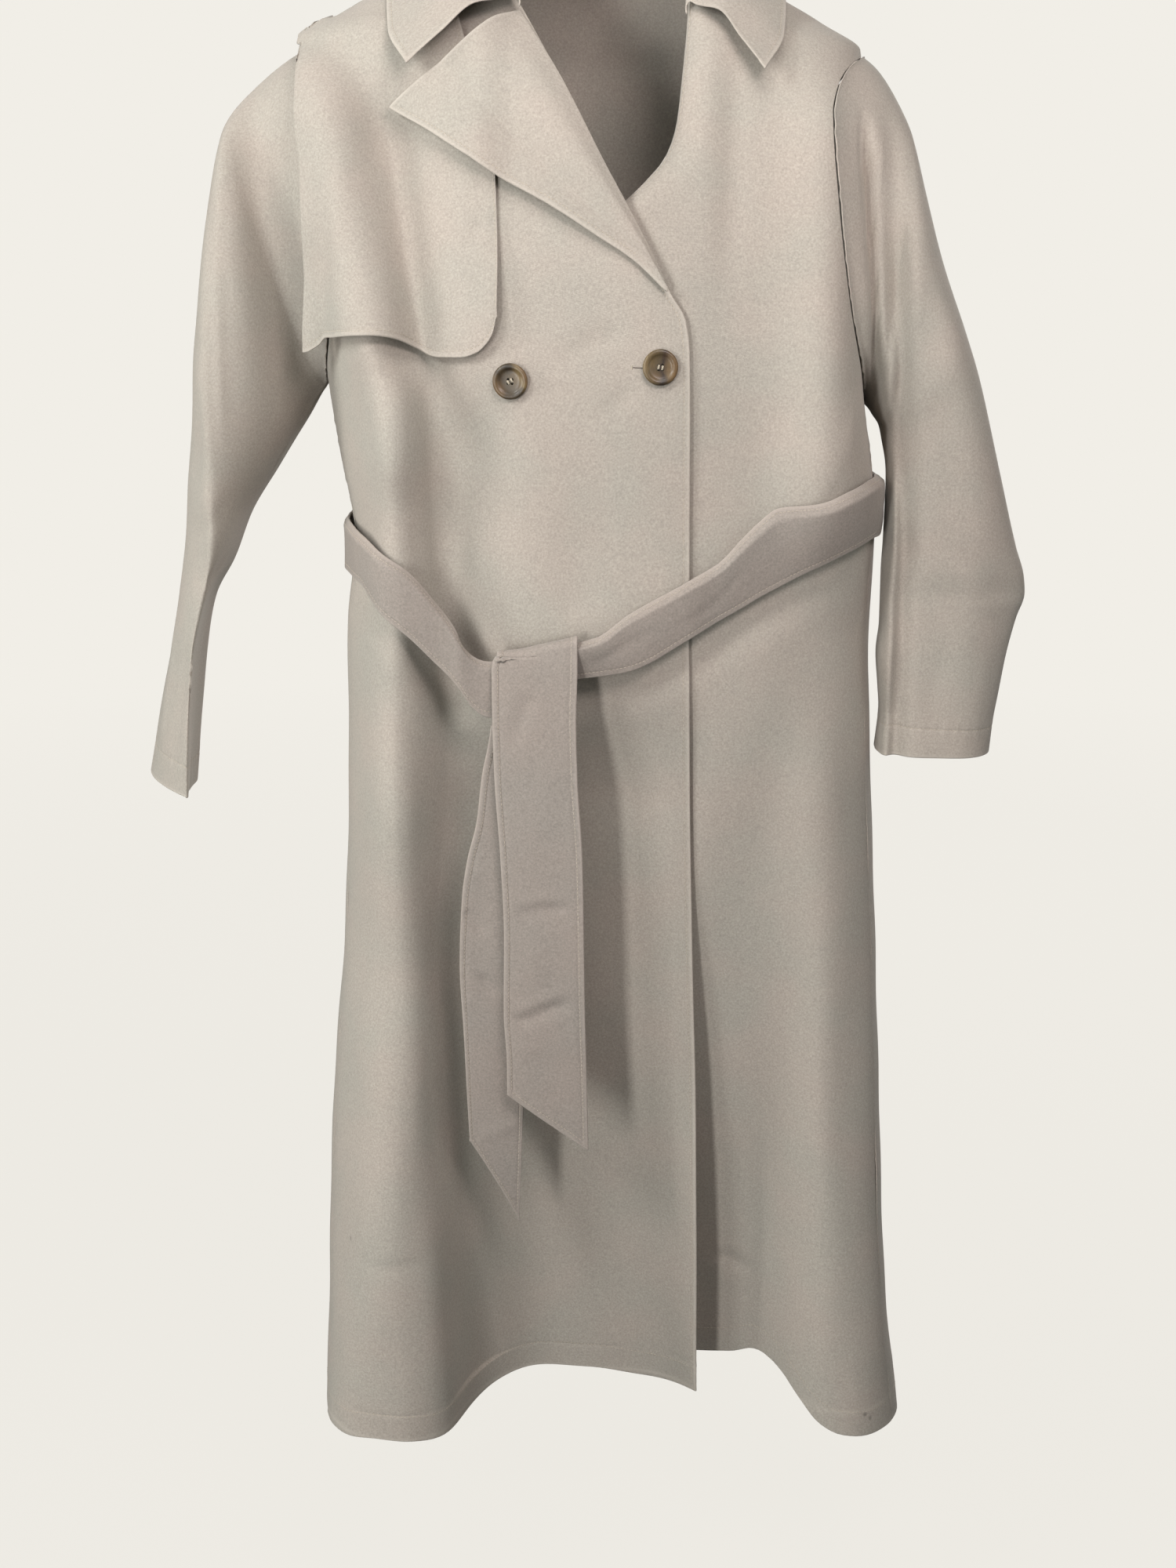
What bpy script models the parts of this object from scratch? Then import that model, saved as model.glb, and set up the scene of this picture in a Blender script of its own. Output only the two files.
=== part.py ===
"""Trench coat, hanging hollow: a double-breasted coat with one turned-out lapel, a storm
flap, plain sleeves and a sash belt tied at the waist.

Frame: metres, +Z up, the front faces -Y, +X is the wearer's left. The origin lies at the
neck points, where the shoulders of whoever wears it carry the coat; the hem hangs at about
-1.21 m. Each cloth piece is a thin wall through sections worked out from the tables below;
neighbouring pieces keep a small gap at their seams.
"""
import math
from math import pi

import bmesh
import bpy
import numpy as np
from mathutils import Vector

MM = 0.001

# ---------------------------------------------------------------- tables
def table(columns, *rows):
    """Named columns from rows of sizes."""
    names = columns.split()
    block = np.array(rows, float)
    return {n: block[:, i] for i, n in enumerate(names)}


def smooth(a, b, x):
    t = np.clip((np.asarray(x, float) - a) / (b - a), 0.0, 1.0)
    return t * t * (3.0 - 2.0 * t)


def through(xs, ys, at):
    """A smooth line through table rows that never overshoots them."""
    xs = np.asarray(xs, float)
    ys = np.asarray(ys, float)
    if xs[0] > xs[-1]:
        xs, ys = xs[::-1], ys[::-1]
    h = np.diff(xs)
    d = np.diff(ys) / h
    m = np.zeros_like(ys)
    for i in range(1, len(xs) - 1):
        if d[i - 1] * d[i] > 0:
            w1 = 2 * h[i] + h[i - 1]
            w2 = h[i] + 2 * h[i - 1]
            m[i] = (w1 + w2) / (w1 / d[i - 1] + w2 / d[i])
    m[0] = d[0]
    m[-1] = d[-1]
    at = np.clip(np.asarray(at, float), xs[0], xs[-1])
    i = np.clip(np.searchsorted(xs, at, side="right") - 1, 0, len(xs) - 2)
    t = (at - xs[i]) / h[i]
    return ((2 * t**3 - 3 * t**2 + 1) * ys[i] + (t**3 - 2 * t**2 + t) * h[i] * m[i]
            + (-2 * t**3 + 3 * t**2) * ys[i + 1] + (t**3 - t**2) * h[i] * m[i + 1])


def column(tab, key, name, at):
    """A column of a table in millimetres, read at a place along its key column, in metres."""
    return through(tab[key] * MM, tab[name] * MM, at)


# ---------------------------------------------------------------- body form (mm)
# A row for each level of the hollow body: half widths to the two sides, depth of the
# widest line, of the front and of the back, and how square the front and back are.
FORM = table(
    "z      xl    xr    ys    yf    yb    nf    nb",
    (0,      78,   78,    0,  -30,   50,  2.0,  2.0),
    (-30,   132,  130,    0,  -54,   74,  2.0,  2.0),
    (-60,   186,  182,    0,  -72,   87,  2.0,  2.0),
    (-80,   224,  214,    0,  -82,   93,  2.1,  2.1),
    (-130,  226,  216,    0,  -99,   99,  2.2,  2.2),
    (-200,  224,  217,    0, -112,  104,  2.3,  2.3),
    (-265,  218,  218,    0, -119,  104,  2.4,  2.4),
    (-330,  211,  222,    0, -121,  102,  2.5,  2.4),
    (-400,  200.5, 232,   -4, -119,  100,  2.5,  2.4),
    (-450,  192,  237,   -8, -118,  100,  2.5,  2.4),
    (-520,  200,  235.5,  -12, -118,  101,  2.5,  2.4),
    (-670,  204,  241,  -22, -118,  106,  2.5,  2.4),
    (-800,  210.5, 249,  -32, -118,  113,  2.6,  2.5),
    (-900,  220.5, 254,  -42, -119,  119,  2.6,  2.5),
    (-1000, 227,  259,  -52, -120,  126,  2.6,  2.5),
    (-1100, 231,  267,  -62, -120,  132,  2.6,  2.5),
    (-1215, 237,  282,  -72, -120,  139,  2.6,  2.5),
)
HEM = -1.210

# Soft folds: a push to the front (-) or back (+) along a line that runs down from x0 at
# level z0 to x3 at level z3; it grows from z0 to z1 and fades from z2 to z3.
FOLD = "x0    z0     z1     z2     z3    x3    push  w0   w3  p"
FOLDS_TOP_FRONT = table(FOLD,
    (-150, -560, -1215, -1300, -1301, -178,  -52,  48,  65, 4),   # lobe over the side
    (-24,  -510,  -665, -1300, -1301,    2,   40, 100, 108, 4),   # hollow that the tails hang in
    (-20,  -600, -1215, -1300, -1301,    2,   28, 100, 108, 4),   # it deepens to the hem
    (-40,  -700, -1215, -1300, -1301,  -50,    8,  40,  38, 2),   # deepest near its left end
    (-110, -700,  -800,  -900, -1080, -106,   12,  26,  26, 2),   # its left wall swings outwards
    (-162, -560,  -680,  -950, -1215, -165,  -12,  30,  34, 2),   # ridge beside that wall
    (-210,  -70,  -140,  -300,  -430, -142,  -34,  24,  26, 2),   # long fold, its ridge by the armhole
    (-158,  -90,  -160,  -290,  -390, -112,   12,  20,  24, 2),   # its trough down the flap
    (-152, -320,  -400,  -620,  -820, -160,  -31,  29,  34, 2),   # its ridge at the waist
    (-94,  -310,  -390,  -500,  -760, -102,   19,  28,  32, 2),   # its trough at the waist
)
FOLDS_UNDER_FRONT = table(FOLD,
    (70,   -500, -1215, -1300, -1301,   70,   78,  90, 110, 2.5), # hollow beside the edge, rising slowly
    (200,  -560, -1215, -1300, -1301,  228,  -24,  44,  50, 3),   # a little fuller over the side
    (110,   -60,  -140,  -200,  -290,  104,    4,  12,  12, 2),
    (190,   -60,  -150,  -380,  -540,  194,  -36,  40,  40, 2),   # fuller beside the armhole
    (190,  -560,  -680,  -900, -1215,  200,   -6,  26,  30, 2),   # ridge down the side
)
FOLDS_BACK = table(FOLD,
    (-140, -480, -1215, -1300, -1301, -168,   26,  40,  46, 3),
    (-60,  -420, -1215, -1300, -1301,  -84,  -34,  36,  44, 3),
    (10,   -520, -1215, -1300, -1301,    6,   18,  44,  50, 3),
    (80,   -420, -1215, -1300, -1301,  106,  -36,  36,  44, 3),
    (160,  -480, -1215, -1300, -1301,  196,   28,  40,  48, 3),
)


def fold_push(folds, x, z):
    total = np.zeros(np.broadcast(x, z).shape)
    for x0, z0, z1, z2, z3, x3, push, w0, w3, p in zip(*(folds[k] for k in FOLD.split())):
        f = np.clip((z - z0 * MM) / ((z3 - z0) * MM), 0, 1)
        grow = smooth(-z0 * MM, -z1 * MM, -z) * (1 - smooth(-z2 * MM, -z3 * MM, -z))
        centre = (x0 + (x3 - x0) * f) * MM
        width = (w0 + (w3 - w0) * f) * MM
        # a fold starts soft and takes its own section as it grows
        p = 2 + (p - 2) * np.clip((z - z0 * MM) / ((z1 - z0) * MM), 0, 1) ** 2
        total = total + push * MM * grow * np.exp(-np.abs((x - centre) / width) ** p)
    return total


def form(name, z):
    return through(FORM["z"] * MM, FORM[name] * (1.0 if name in ("nf", "nb") else MM), z)


def body(phi, z, folds=None):
    """Point of the body form: phi 0 at the left side, pi/2 in front, pi at the right, negative behind."""
    c, s = np.cos(phi), np.sin(phi)
    e = 2.0 / np.where(s >= 0, form("nf", z), form("nb", z))
    x = np.where(c > 0, -form("xl", z), form("xr", z)) * np.abs(c) ** e
    depth = np.where(s >= 0, form("yf", z), form("yb", z)) - form("ys", z)
    y = form("ys", z) + depth * np.abs(s) ** e
    if folds is not None:
        push = np.where(s >= 0, fold_push(folds, x, z), fold_push(FOLDS_BACK, x, z))
        y = y + push * smooth(0.0, 0.36, np.abs(s))
    return np.stack([x, y, z + 0 * x], -1)


def phi_front(x, z):
    """Angle of the front point at a given x."""
    a = np.where(x < 0, form("xl", z), form("xr", z))
    c = np.clip(np.abs(x) / a, 0, 1) ** (form("nf", z) / 2.0)
    return np.arccos(np.where(x < 0, c, -c))


# ---------------------------------------------------------------- panel edges (mm)
ARM_L = table("z xf xb", (-80, 224, 224), (-92, 211, 213), (-110, 202, 206), (-135, 196, 202),
              (-200, 195, 202), (-265, 199, 204), (-300, 205, 207), (-318, 209, 209.6), (-328, 211, 211))
ARM_R = table("z xf xb", (-84, 214.34, 214.34), (-96, 199, 203), (-112, 188, 194), (-135, 182, 190),
              (-200, 188, 193), (-265, 198, 202), (-300, 207, 209), (-330, 217.5, 219), (-343, 223, 223))
# the side seams lie a little in front of the widest line (hundredths of a radian)
SEAM = table("z left right", (-328, 8, 8), (-420, 20, 22), (-500, 25, 30), (-1215, 26, 28))
EDGE_TOP = table("z x", (0, -78), (-30, -66), (-60, -49), (-100, -27), (-146, -3), (-199, 27), (-240, 49),
                 (-265, 61), (-283, 72), (-307, 75.5), (-395, 77), (-479, 78), (-642, 81), (-780, 85),
                 (-917, 90), (-1093, 94), (-1215, 96))
EDGE_UNDER = table("z x", (0, 78), (-60, 75), (-110, 70), (-146, 65), (-165, 58), (-180, 46), (-194, 32),
                   (-205, 20), (-240, -12), (-290, -62), (-330, -78), (-500, -80), (-900, -82), (-1215, -84))
# the fronts' hems hang in a curve (mm that the hem is lifted, by its place across)
LIFT_TOP = table("x lift", (-262, -10), (-215, -5), (-180, 0), (-150, -1), (-112, -6), (-84, -2), (0, 1), (50, -4), (100, -2))
LIFT_UNDER = table("x lift", (-90, 0), (60, 8), (103, 11), (130, 18), (153, 29), (170, 22), (187, 4), (204, -14),
                   (224, -22), (273, -25), (290, -25))
Z_NECK, Z_YOKE = 0.0, -0.10
LAP = 0.0045          # the top front lies this far in front of the under front
NECK_ROLL = 0.016     # radius of the soft roll along the under front's neck edge
NECK_DROP = 0.020     # depth of the back neck below the shoulder points
SHOULDER_GAP = 0.0010 # each side of a shoulder seam, where the walls lean towards each other
GAP = 0.0006          # half of this, at least 0.3 mm, is left clear on each side of a seam


def side_phi(z, side, part):
    """Angle from the widest line to a panel's side edge: the armhole, then the side seam."""
    tab, width = (ARM_L, "xl") if side == "left" else (ARM_R, "xr")
    x, n = (tab["xf"], "nf") if part == "front" else (tab["xb"], "nb")
    hole = np.arccos(np.clip(through(tab["z"] * MM, x * MM, z) / form(width, z), 0, 1) ** (form(n, z) / 2))
    seam = through(SEAM["z"] * MM, SEAM[side] * 0.01, z) * (1 if part == "front" else -1)
    return np.where(z > tab["z"][-1] * MM + 1e-9, hole, seam)


def even(points, us):
    """Spread columns evenly along a row."""
    step = np.linalg.norm(np.diff(points, axis=0), axis=1)
    run = np.concatenate([[0], np.cumsum(step)])
    run = run / run[-1]
    return np.stack([np.interp(us, run, points[:, k]) for k in range(3)], -1)


def levels(side, n_arm, n_skirt):
    """Heights of a panel's rows: down the armhole, then down to the hem."""
    tab = ARM_L if side == "left" else ARM_R
    top, low = tab["z"][0] * MM, tab["z"][-1] * MM
    arm = (top + low) / 2 + (top - low) / 2 * np.cos(np.linspace(0, pi, n_arm + 1))
    return np.concatenate([arm, np.linspace(low, HEM, n_skirt + 1)[1:]])


def slope(side, z):
    """Height of a row at its neck end: level at the underarm, up to the neck point at the top."""
    tab = ARM_L if side == "left" else ARM_R
    top, low = tab["z"][0] * MM, tab["z"][-1] * MM
    return np.where(z > low, low + (Z_NECK - low) * (z - low) / (top - low), z)


def lap(x, z):
    """How far the top front lies in front of the form, where it covers the under front."""
    return LAP * smooth(-0.13, -0.085, x) * smooth(0.05, 0.17, -z)


def top_front_y(x, z):
    """Depth of the top front at a place seen from the front."""
    return body(phi_front(x, z), z, FOLDS_TOP_FRONT)[..., 1] - lap(x, z)


def under_front_y(x, z):
    return body(phi_front(x, z), z, FOLDS_UNDER_FRONT)[..., 1]


def front_panel(side, us, zs, gap=GAP):
    """Grid of one front: rows from the shoulder seam down to the hem, columns from side to edge."""
    left = side == "left"
    edge = EDGE_TOP if left else EDGE_UNDER
    folds = FOLDS_TOP_FRONT if left else FOLDS_UNDER_FRONT
    fine = np.linspace(0, 1, 161)
    rows = []
    for z_side in zs:
        z_edge = slope(side, z_side)
        a = side_phi(z_side, side, "front") + gap / 0.11
        p_side = a if left else pi - a
        p_edge = phi_front(column(edge, "z", "x", z_edge), z_edge)
        zz = z_side + (z_edge - z_side) * fine
        ph = p_side + (p_edge - p_side) * fine
        clear = np.where(z_side > zs[0] - 1e-6, SHOULDER_GAP / -form("yf", zz), gap / 0.11)
        pts = body(np.clip(ph, clear, pi - clear), zz, folds)
        x = pts[:, 0]
        if left:
            pts[:, 1] -= lap(x, zz)
        else:
            # under the lap the cloth follows the top front from behind
            room = np.maximum(smooth(-0.52, -0.62, zz), smooth(-0.28, -0.36, zz) * (1 - smooth(-0.03, 0.03, x)))
            d = top_front_y(x, zz) + 0.003 + 0.0045 * room - pts[:, 1]
            k = 0.006
            h = np.clip(0.5 + 0.5 * d / k, 0, 1)
            x_top = column(EDGE_TOP, "z", "x", zz)
            inside = 1 - smooth(x_top - 0.002, x_top + 0.030, x)
            pts[:, 1] += (d * h + k * h * (1 - h)) * inside
            # soft roll inwards along the neck edge
            step = np.linalg.norm(np.diff(pts, axis=0), axis=1)
            away = np.concatenate([np.cumsum(step[::-1])[::-1], [0]])
            r = float(NECK_ROLL * smooth(-0.225, -0.175, z_edge) * smooth(0.015, 0.08, -z_edge))
            if r > 1e-4:
                d = np.clip(1 - away / (r * 1.6), 0, 1)
                pts[:, 1] += r * (1 - np.sqrt(1 - 0.96 * d * d))
        lift = column(LIFT_TOP if left else LIFT_UNDER, "x", "lift", x)
        pts[:, 2] += lift * smooth(0.80, -HEM, -zz)
        rows.append(even(pts, us))
    return np.array(rows)


def back_panel(us, z_left, z_right, gap=GAP):
    """Grid of the back: rows from the shoulder seams and back neck down to the hem."""
    fine = np.linspace(0, 1, 241)
    neck = 0.30
    f = np.clip((fine - neck) / (1 - 2 * neck), 0, 1)
    z_top = np.where(fine < 0.5, z_left[0] * (1 - np.clip(fine / neck, 0, 1)),
                     z_right[0] * (1 - np.clip((1 - fine) / neck, 0, 1))) - NECK_DROP * np.sin(pi * f) ** 0.8
    low_l, low_r = ARM_L["z"][-1] * MM, ARM_R["z"][-1] * MM
    z_low = low_l + (low_r - low_l) * fine
    rows = []
    for zl, zr in zip(z_left, z_right):
        t = np.clip((z_left[0] - zl) / (z_left[0] - low_l), 0, 1)
        a = side_phi(zl, "left", "back") + gap / 0.11
        b = side_phi(zr, "right", "back") + gap / 0.11
        beta = smooth(0.0, 0.22, t)
        ph = -(a + (pi - a - b) * ((1 - beta) * f + beta * fine))
        zz = z_top + (z_low - z_top) * t if t < 1 else zl + (zr - zl) * fine
        if t < 1:
            clear = SHOULDER_GAP / form("yb", zz) if t < 1e-6 else gap / 0.11
            ph = np.clip(ph, -pi + clear, -clear)
        # past the side seams it follows the folds of the fronts
        pts = np.where(np.cos(ph)[:, None] > 0, body(ph, zz, FOLDS_TOP_FRONT), body(ph, zz, FOLDS_UNDER_FRONT))
        # its hem meets the hems of the fronts at the side seams
        side = np.where(np.cos(ph) > 0, column(LIFT_TOP, "x", "lift", pts[:, 0]), column(LIFT_UNDER, "x", "lift", pts[:, 0]))
        pts[:, 2] += side * (1 - smooth(0.25, 1.1, np.minimum(-ph, pi + ph))) * smooth(0.80, -HEM, -zz)
        rows.append(even(pts, us))
    return np.array(rows)


# ---------------------------------------------------------------- sleeves (mm)
# A row for each ring: how far along the sleeve, its outer and inner points, how far it
# reaches to front and back of the line between them, the sideways lean of the front and
# back, and how square it is.
SLEEVE = "s    xo    zo    yo   xi    zi    yi   front back leanf leanb  n"
SLEEVE_LEFT = table(SLEEVE,
    (0,   -224,  -80,   0, -211, -328,   0,  -56,  60,   0,   0, 2.0),
    (30,  -250,  -95,   0, -212, -331,   0,  -66,  64,   0,   0, 2.0),
    (60,  -272, -115,   0, -214, -334,   0,  -74,  67,  -7,   0, 2.0),
    (90,  -286, -137,   0, -217, -338,   0,  -80,  69,  -9,   0, 2.1),
    (135, -296, -180,   0, -222, -345,   0,  -84,  70, -11,   0, 2.1),
    (195, -306, -239,   0, -232, -361,   0,  -84,  69, -12,   0, 2.1),
    (248, -313, -291,   0, -244, -379,   0,  -82,  66, -10,   0, 2.1),
    (302, -320, -344,   0, -259, -402,   0,  -78,  64,  -4,   0, 2.0),
    (360, -329, -401,   0, -281, -436,   0,  -72,  61,   8,   0, 1.8),
    (425, -339, -465,   8, -300, -478,   4,  -70,  60,  15,  -4, 1.65),
    (468, -347, -506,  14, -317, -508,   8,  -71,  60,  17,  -8, 1.6),
    (500, -354, -535,  20, -325, -536,  10,  -75,  58,  17, -10, 1.55),
    (530, -361, -563,  25, -330, -564,  11,  -78,  56,  19, -10, 1.5),
    (562, -369, -593,  29, -334, -598,  11,  -80,  54,  21, -10, 1.5),
    (590, -376, -620,  31, -338, -630,  11,  -82,  53,  24, -10, 1.5),
    (632, -386, -663,  33, -343, -672,  11,  -82,  52,  28, -10, 1.6),
)
SLEEVE_RIGHT = table(SLEEVE,
    (0,    214,  -84,   0,  223, -343,   0,  -56,  60,   0,   0, 2.0),
    (30,   236,  -99,  -2,  224, -345,  -2,  -64,  60,   0,   0, 2.1),
    (60,   249, -128,  -5,  226, -348,  -5,  -71,  58,   0,   0, 2.2),
    (115,  264, -182, -10,  229, -352, -10,  -78,  56,   0,   0, 2.3),
    (175,  281, -242, -14,  233, -358, -18,  -74,  54,   0,   0, 2.4),
    (225,  298, -290, -18,  237, -365, -26,  -69,  54,   0,   2, 2.5),
    (262,  311, -325, -20,  239, -376, -32,  -61,  54,   0,   4, 2.6),
    (335,  332, -396, -24,  241, -400, -42,  -50,  54,   0,   8, 2.7),
    (405,  351, -462, -26,  241, -455, -48,  -40,  54,   0,  10, 2.8),
    (430,  359, -485, -26,  240, -480, -50,  -36,  54,   0,  10, 2.8),
    (446,  361, -500, -26,  240, -500, -50,  -33,  54,   0,  10, 2.8),
    (470,  355, -520, -26,  240, -522, -50,  -33,  53,   0,  10, 2.8),
    (500,  348, -552, -26,  238, -547, -50,  -33,  52,   0,   8, 2.8),
    (532,  343.5, -584, -26,  241, -577, -48,  -34,  50,   0,   6, 2.7),
    (552,  341, -603, -26,  243, -597, -46,  -35,  48,   0,   5, 2.6),
    (585,  339, -632, -26,  241, -629, -45,  -36,  47,   0,   4, 2.6),
)
FOLDS_SLEEVE_LEFT = table(FOLD,
    (-250, -100, -170, -300, -400, -226,   27,  20,  20, 2),   # deep trough down the inner front
    (-214,  -80, -130, -280, -345, -204,  -20,  17,  14, 2),   # pulled forward to the armhole
    (-290, -110, -170, -420, -520, -306,   -4,   9,   9, 2),   # ridge down the outer front
)
FOLDS_SLEEVE_RIGHT = table(FOLD,
    (205,  -90, -150, -300, -360,  222, -15,  13,  12, 2),   # level with the body beside the armhole
    (213,  -90, -150, -420, -520,  250, -10,   8,   9, 2),   # ridge along the inner side
    (221,  -90, -150, -420, -500,  258,   8,   8,   9, 2),   # trough behind it
    (243, -400, -480, -700, -701,  245,  -6,   7,   7, 2),   # the ridge goes on to the cuff
    (252, -400, -480, -700, -701,  254,   5,   8,   9, 2),   # and so does the trough
    (290, -180, -300, -700, -701,  318,  -6,  26,  26, 2),   # fuller to the outer side
)


def armhole(psi, tab, sign):
    """The armhole line: psi 0 at the shoulder tip, pi/2 in front, pi under the arm."""
    top, low = tab["z"][0] * MM, tab["z"][-1] * MM
    z = (top + low) / 2 + (top - low) / 2 * np.cos(psi)
    front = np.sin(psi) >= 0
    x = np.where(front, column(tab, "z", "xf", z), column(tab, "z", "xb", z))
    width = form("xl" if sign < 0 else "xr", z)
    n = np.where(front, form("nf", z), form("nb", z))
    rest = np.clip(1 - (x / width) ** n, 0, 1) ** (1 / n)
    y = form("ys", z) + (np.where(front, form("yf", z), form("yb", z)) - form("ys", z)) * rest
    folds = FOLDS_TOP_FRONT if sign < 0 else FOLDS_UNDER_FRONT
    push = np.where(front, fold_push(folds, sign * x, z), fold_push(FOLDS_BACK, sign * x, z))
    y = y + push * smooth(0.0, 0.36, rest ** (n / 2))
    return np.stack([sign * x, y, z], -1)


def sleeve(side, ss, psis, clear=0.0016):
    """Grid of a sleeve: a row for each ring from the armhole to the cuff, psi round it."""
    tab, arm, sign, folds = ((SLEEVE_LEFT, ARM_L, -1, FOLDS_SLEEVE_LEFT) if side == "left"
                             else (SLEEVE_RIGHT, ARM_R, 1, FOLDS_SLEEVE_RIGHT))
    hole = armhole(psis, arm, sign)
    hole[:, 0] += sign * clear
    rows = []
    for s in ss:
        get = lambda k: column(tab, "s", k, s)
        n = through(tab["s"] * MM, tab["n"], s)
        out = np.array([get("xo"), get("yo"), get("zo")])
        inn = np.array([get("xi"), get("yi"), get("zi")])
        c, q = np.cos(psis), np.sin(psis)
        e = 2 / n
        across = np.sign(c) * np.abs(c) ** e
        depth = np.abs(q) ** e
        pts = (out + inn) / 2 + across[:, None] * (out - inn) / 2
        front = q >= 0
        pts[:, 1] += np.where(front, get("front"), get("back")) * depth
        pts[:, 0] += np.where(front, get("leanf"), get("leanb")) * depth**2
        push = fold_push(folds, pts[:, 0], pts[:, 2]) * np.where(front, smooth(0.0, 0.3, q), 0)
        pts[:, 1] += push * smooth(0.004, 0.030, s)
        w = smooth(0.0, 0.070, s)
        rows.append(hole + (pts - hole) * w)
    return np.array(rows)


# ---------------------------------------------------------------- what lies on the fronts
def outer_front_y(x, z):
    """Depth of the outermost front, the top front up to its edge and the under front past it."""
    x_edge = column(EDGE_TOP, "z", "x", z)
    k = smooth(x_edge - 0.004, x_edge + 0.022, x)
    return top_front_y(x, z) * (1 - k) + under_front_y(x, z) * k


def moved_out(x, z, lift, depth=outer_front_y):
    """Points over the front, moved out along its normal."""
    d = 0.002
    y = depth(x, z)
    fx = (depth(x + d, z) - depth(x - d, z)) / (2 * d)
    fz = (depth(x, z + d) - depth(x, z - d)) / (2 * d)
    fx, fz = np.clip(fx, -1.6, 1.6), np.clip(fz, -1.0, 1.0)
    n = np.stack([fx, -1 + 0 * fx, fz], -1)
    n /= np.linalg.norm(n, axis=-1, keepdims=True)
    return np.stack([x, y, z], -1) + n * np.asarray(lift)[..., None]


# Storm flap on the chest: its two edges, its lower edge, and the line where it reaches
# over the armhole on to the sleeve.
FLAP_LEFT = table("z x", (-60, -196), (-76, -214), (-142, -213), (-172, -210), (-240, -211), (-310, -213))
FLAP_RIGHT = table("z x", (-40, -106), (-100, -86), (-181, -68), (-270, -66.5), (-310, -67))
FLAP_LOW = table("x z", (-213, -306), (-203, -299), (-190, -294), (-174, -294), (-154, -298), (-130, -306),
                 (-108, -310), (-92, -310), (-82, -307), (-75, -301), (-70, -293), (-67, -281))
FLAP_OVER = table("z y", (-76, -16), (-90, -40), (-110, -64), (-142, -83), (-200, -86), (-250, -78), (-306, -66))


def chest_y(x, z):
    """The front, bridged over the armhole to the sleeve."""
    x0, x1, d = -0.188, -0.213, 0.002
    y0 = top_front_y(x0 + 0 * x, z)
    m0 = (top_front_y(x0 + d + 0 * x, z) - y0) / d
    y1 = column(FLAP_OVER, "z", "y", z)
    m1 = -0.9
    t = np.clip((x - x0) / (x1 - x0), 0, 1.1)
    h = x1 - x0
    bridge = ((2 * t**3 - 3 * t**2 + 1) * y0 + (t**3 - 2 * t**2 + t) * h * m0
              + (-2 * t**3 + 3 * t**2) * y1 + (t**3 - t**2) * h * m1)
    return np.where(x < x0, np.minimum(bridge, top_front_y(x, z)), top_front_y(x, z))


def flap_grid(us, vs, lift=0.004, stand=0.004):
    """Storm flap: columns from the armhole edge to the chest edge, rows from the shoulder down."""
    rows = []
    z_ridge = np.linspace(-0.078, -0.02, 60)
    for v in vs:
        x_low = -0.213 + (0.213 - 0.067) * us
        z_low = column(FLAP_LOW, "x", "z", x_low)
        # where each column meets the shoulder seam
        z_hi = -0.070 + (0.070 - 0.034) * us
        for _ in range(8):
            x_hi = column(FLAP_LEFT, "z", "x", z_hi) * (1 - us) + column(FLAP_RIGHT, "z", "x", z_hi) * us
            z_hi = through(form("xl", z_ridge), z_ridge, np.abs(x_hi) + 0.004)
        z = z_hi + (z_low - z_hi) * v
        side = column(FLAP_LEFT, "z", "x", z) * (1 - us) + column(FLAP_RIGHT, "z", "x", z) * us
        x = side + (x_low - side) * smooth(0.75, 1.0, v)
        rise = lift + stand * smooth(0.72, 1.0, v) + 0.003 * (1 - smooth(0.0, 0.3, v)) + 0.0045 * smooth(-0.125, -0.160, x)
        rows.append(moved_out(x, z, rise + 0 * x, chest_y))
    return np.array(rows)


# Lapel: the roll line is the top front's own edge; the outer edge falls from its point.
LAPEL_ROLL = table("t x z", (0, -51, -62), (300, -22, -108), (600, 12, -172), (850, 42, -227), (1000, 60, -263))
LAPEL_EDGE = table("t x z", (0, -139, -131), (130, -118, -146), (400, -68, -181), (580, -29, -202),
                   (740, 5, -223), (880, 35, -242), (1000, 61, -266))


def lapel_grid(ts, bs, lift=0.0052):
    """Rows run down the lapel, columns run from the roll line to the outer edge."""
    rows = []
    for t in ts:
        rx, rz = (column(LAPEL_ROLL, "t", k, t) for k in "xz")
        ex, ez = (column(LAPEL_EDGE, "t", k, t) for k in "xz")
        x, z = rx + (ex - rx) * bs, rz + (ez - rz) * bs
        wide = np.hypot(ex - rx, ez - rz)
        puff = 0.006 * np.sin(pi * np.clip(bs * 1.6, 0, 1)) * smooth(0, 0.06, wide)
        over_flap = 0.0065 * smooth(-0.052, -0.080, x)
        stand = 0.0045 * smooth(0.45, 1.0, bs) * smooth(0.01, 0.05, wide)
        rows.append(moved_out(x, z, lift * (0.55 + 0.45 * smooth(0, 0.2, bs)) + puff + over_flap + stand, chest_y))
    return np.array(rows)


# Collar: its base runs round the neck, its outer edge lies on the shoulders (mm).
COLLAR = table(
    "t     bx    by    bz   stand  ex    ey    ez",
    (0,    -50,  -82,  -60,   6,  -132, -112, -102),
    (90,   -57,  -60,  -38,  12,  -148,  -78,  -74),
    (180,  -66,  -30,  -14,  19,  -152,  -30,  -34),
    (250,  -77,   -4,    3,  24,  -146,    8,  -25),
    (330,  -68,   32,   -2,  27,  -124,   64,  -46),
    (420,  -36,   60,  -12,  29,   -66,  102,  -82),
    (500,    0,   67,  -16,  30,     0,  112,  -92),
    (580,   36,   60,  -12,  29,    66,  102,  -82),
    (670,   68,   32,   -2,  27,   124,   64,  -46),
    (750,   77,   -4,    3,  24,   146,    8,  -25),
    (820,   74,  -30,  -16,  19,   150,  -28,  -38),
    (910,   74,  -52,  -40,  12,   146,  -70,  -76),
    (1000,  73,  -62,  -62,   6,   130, -100, -104),
)


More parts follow.
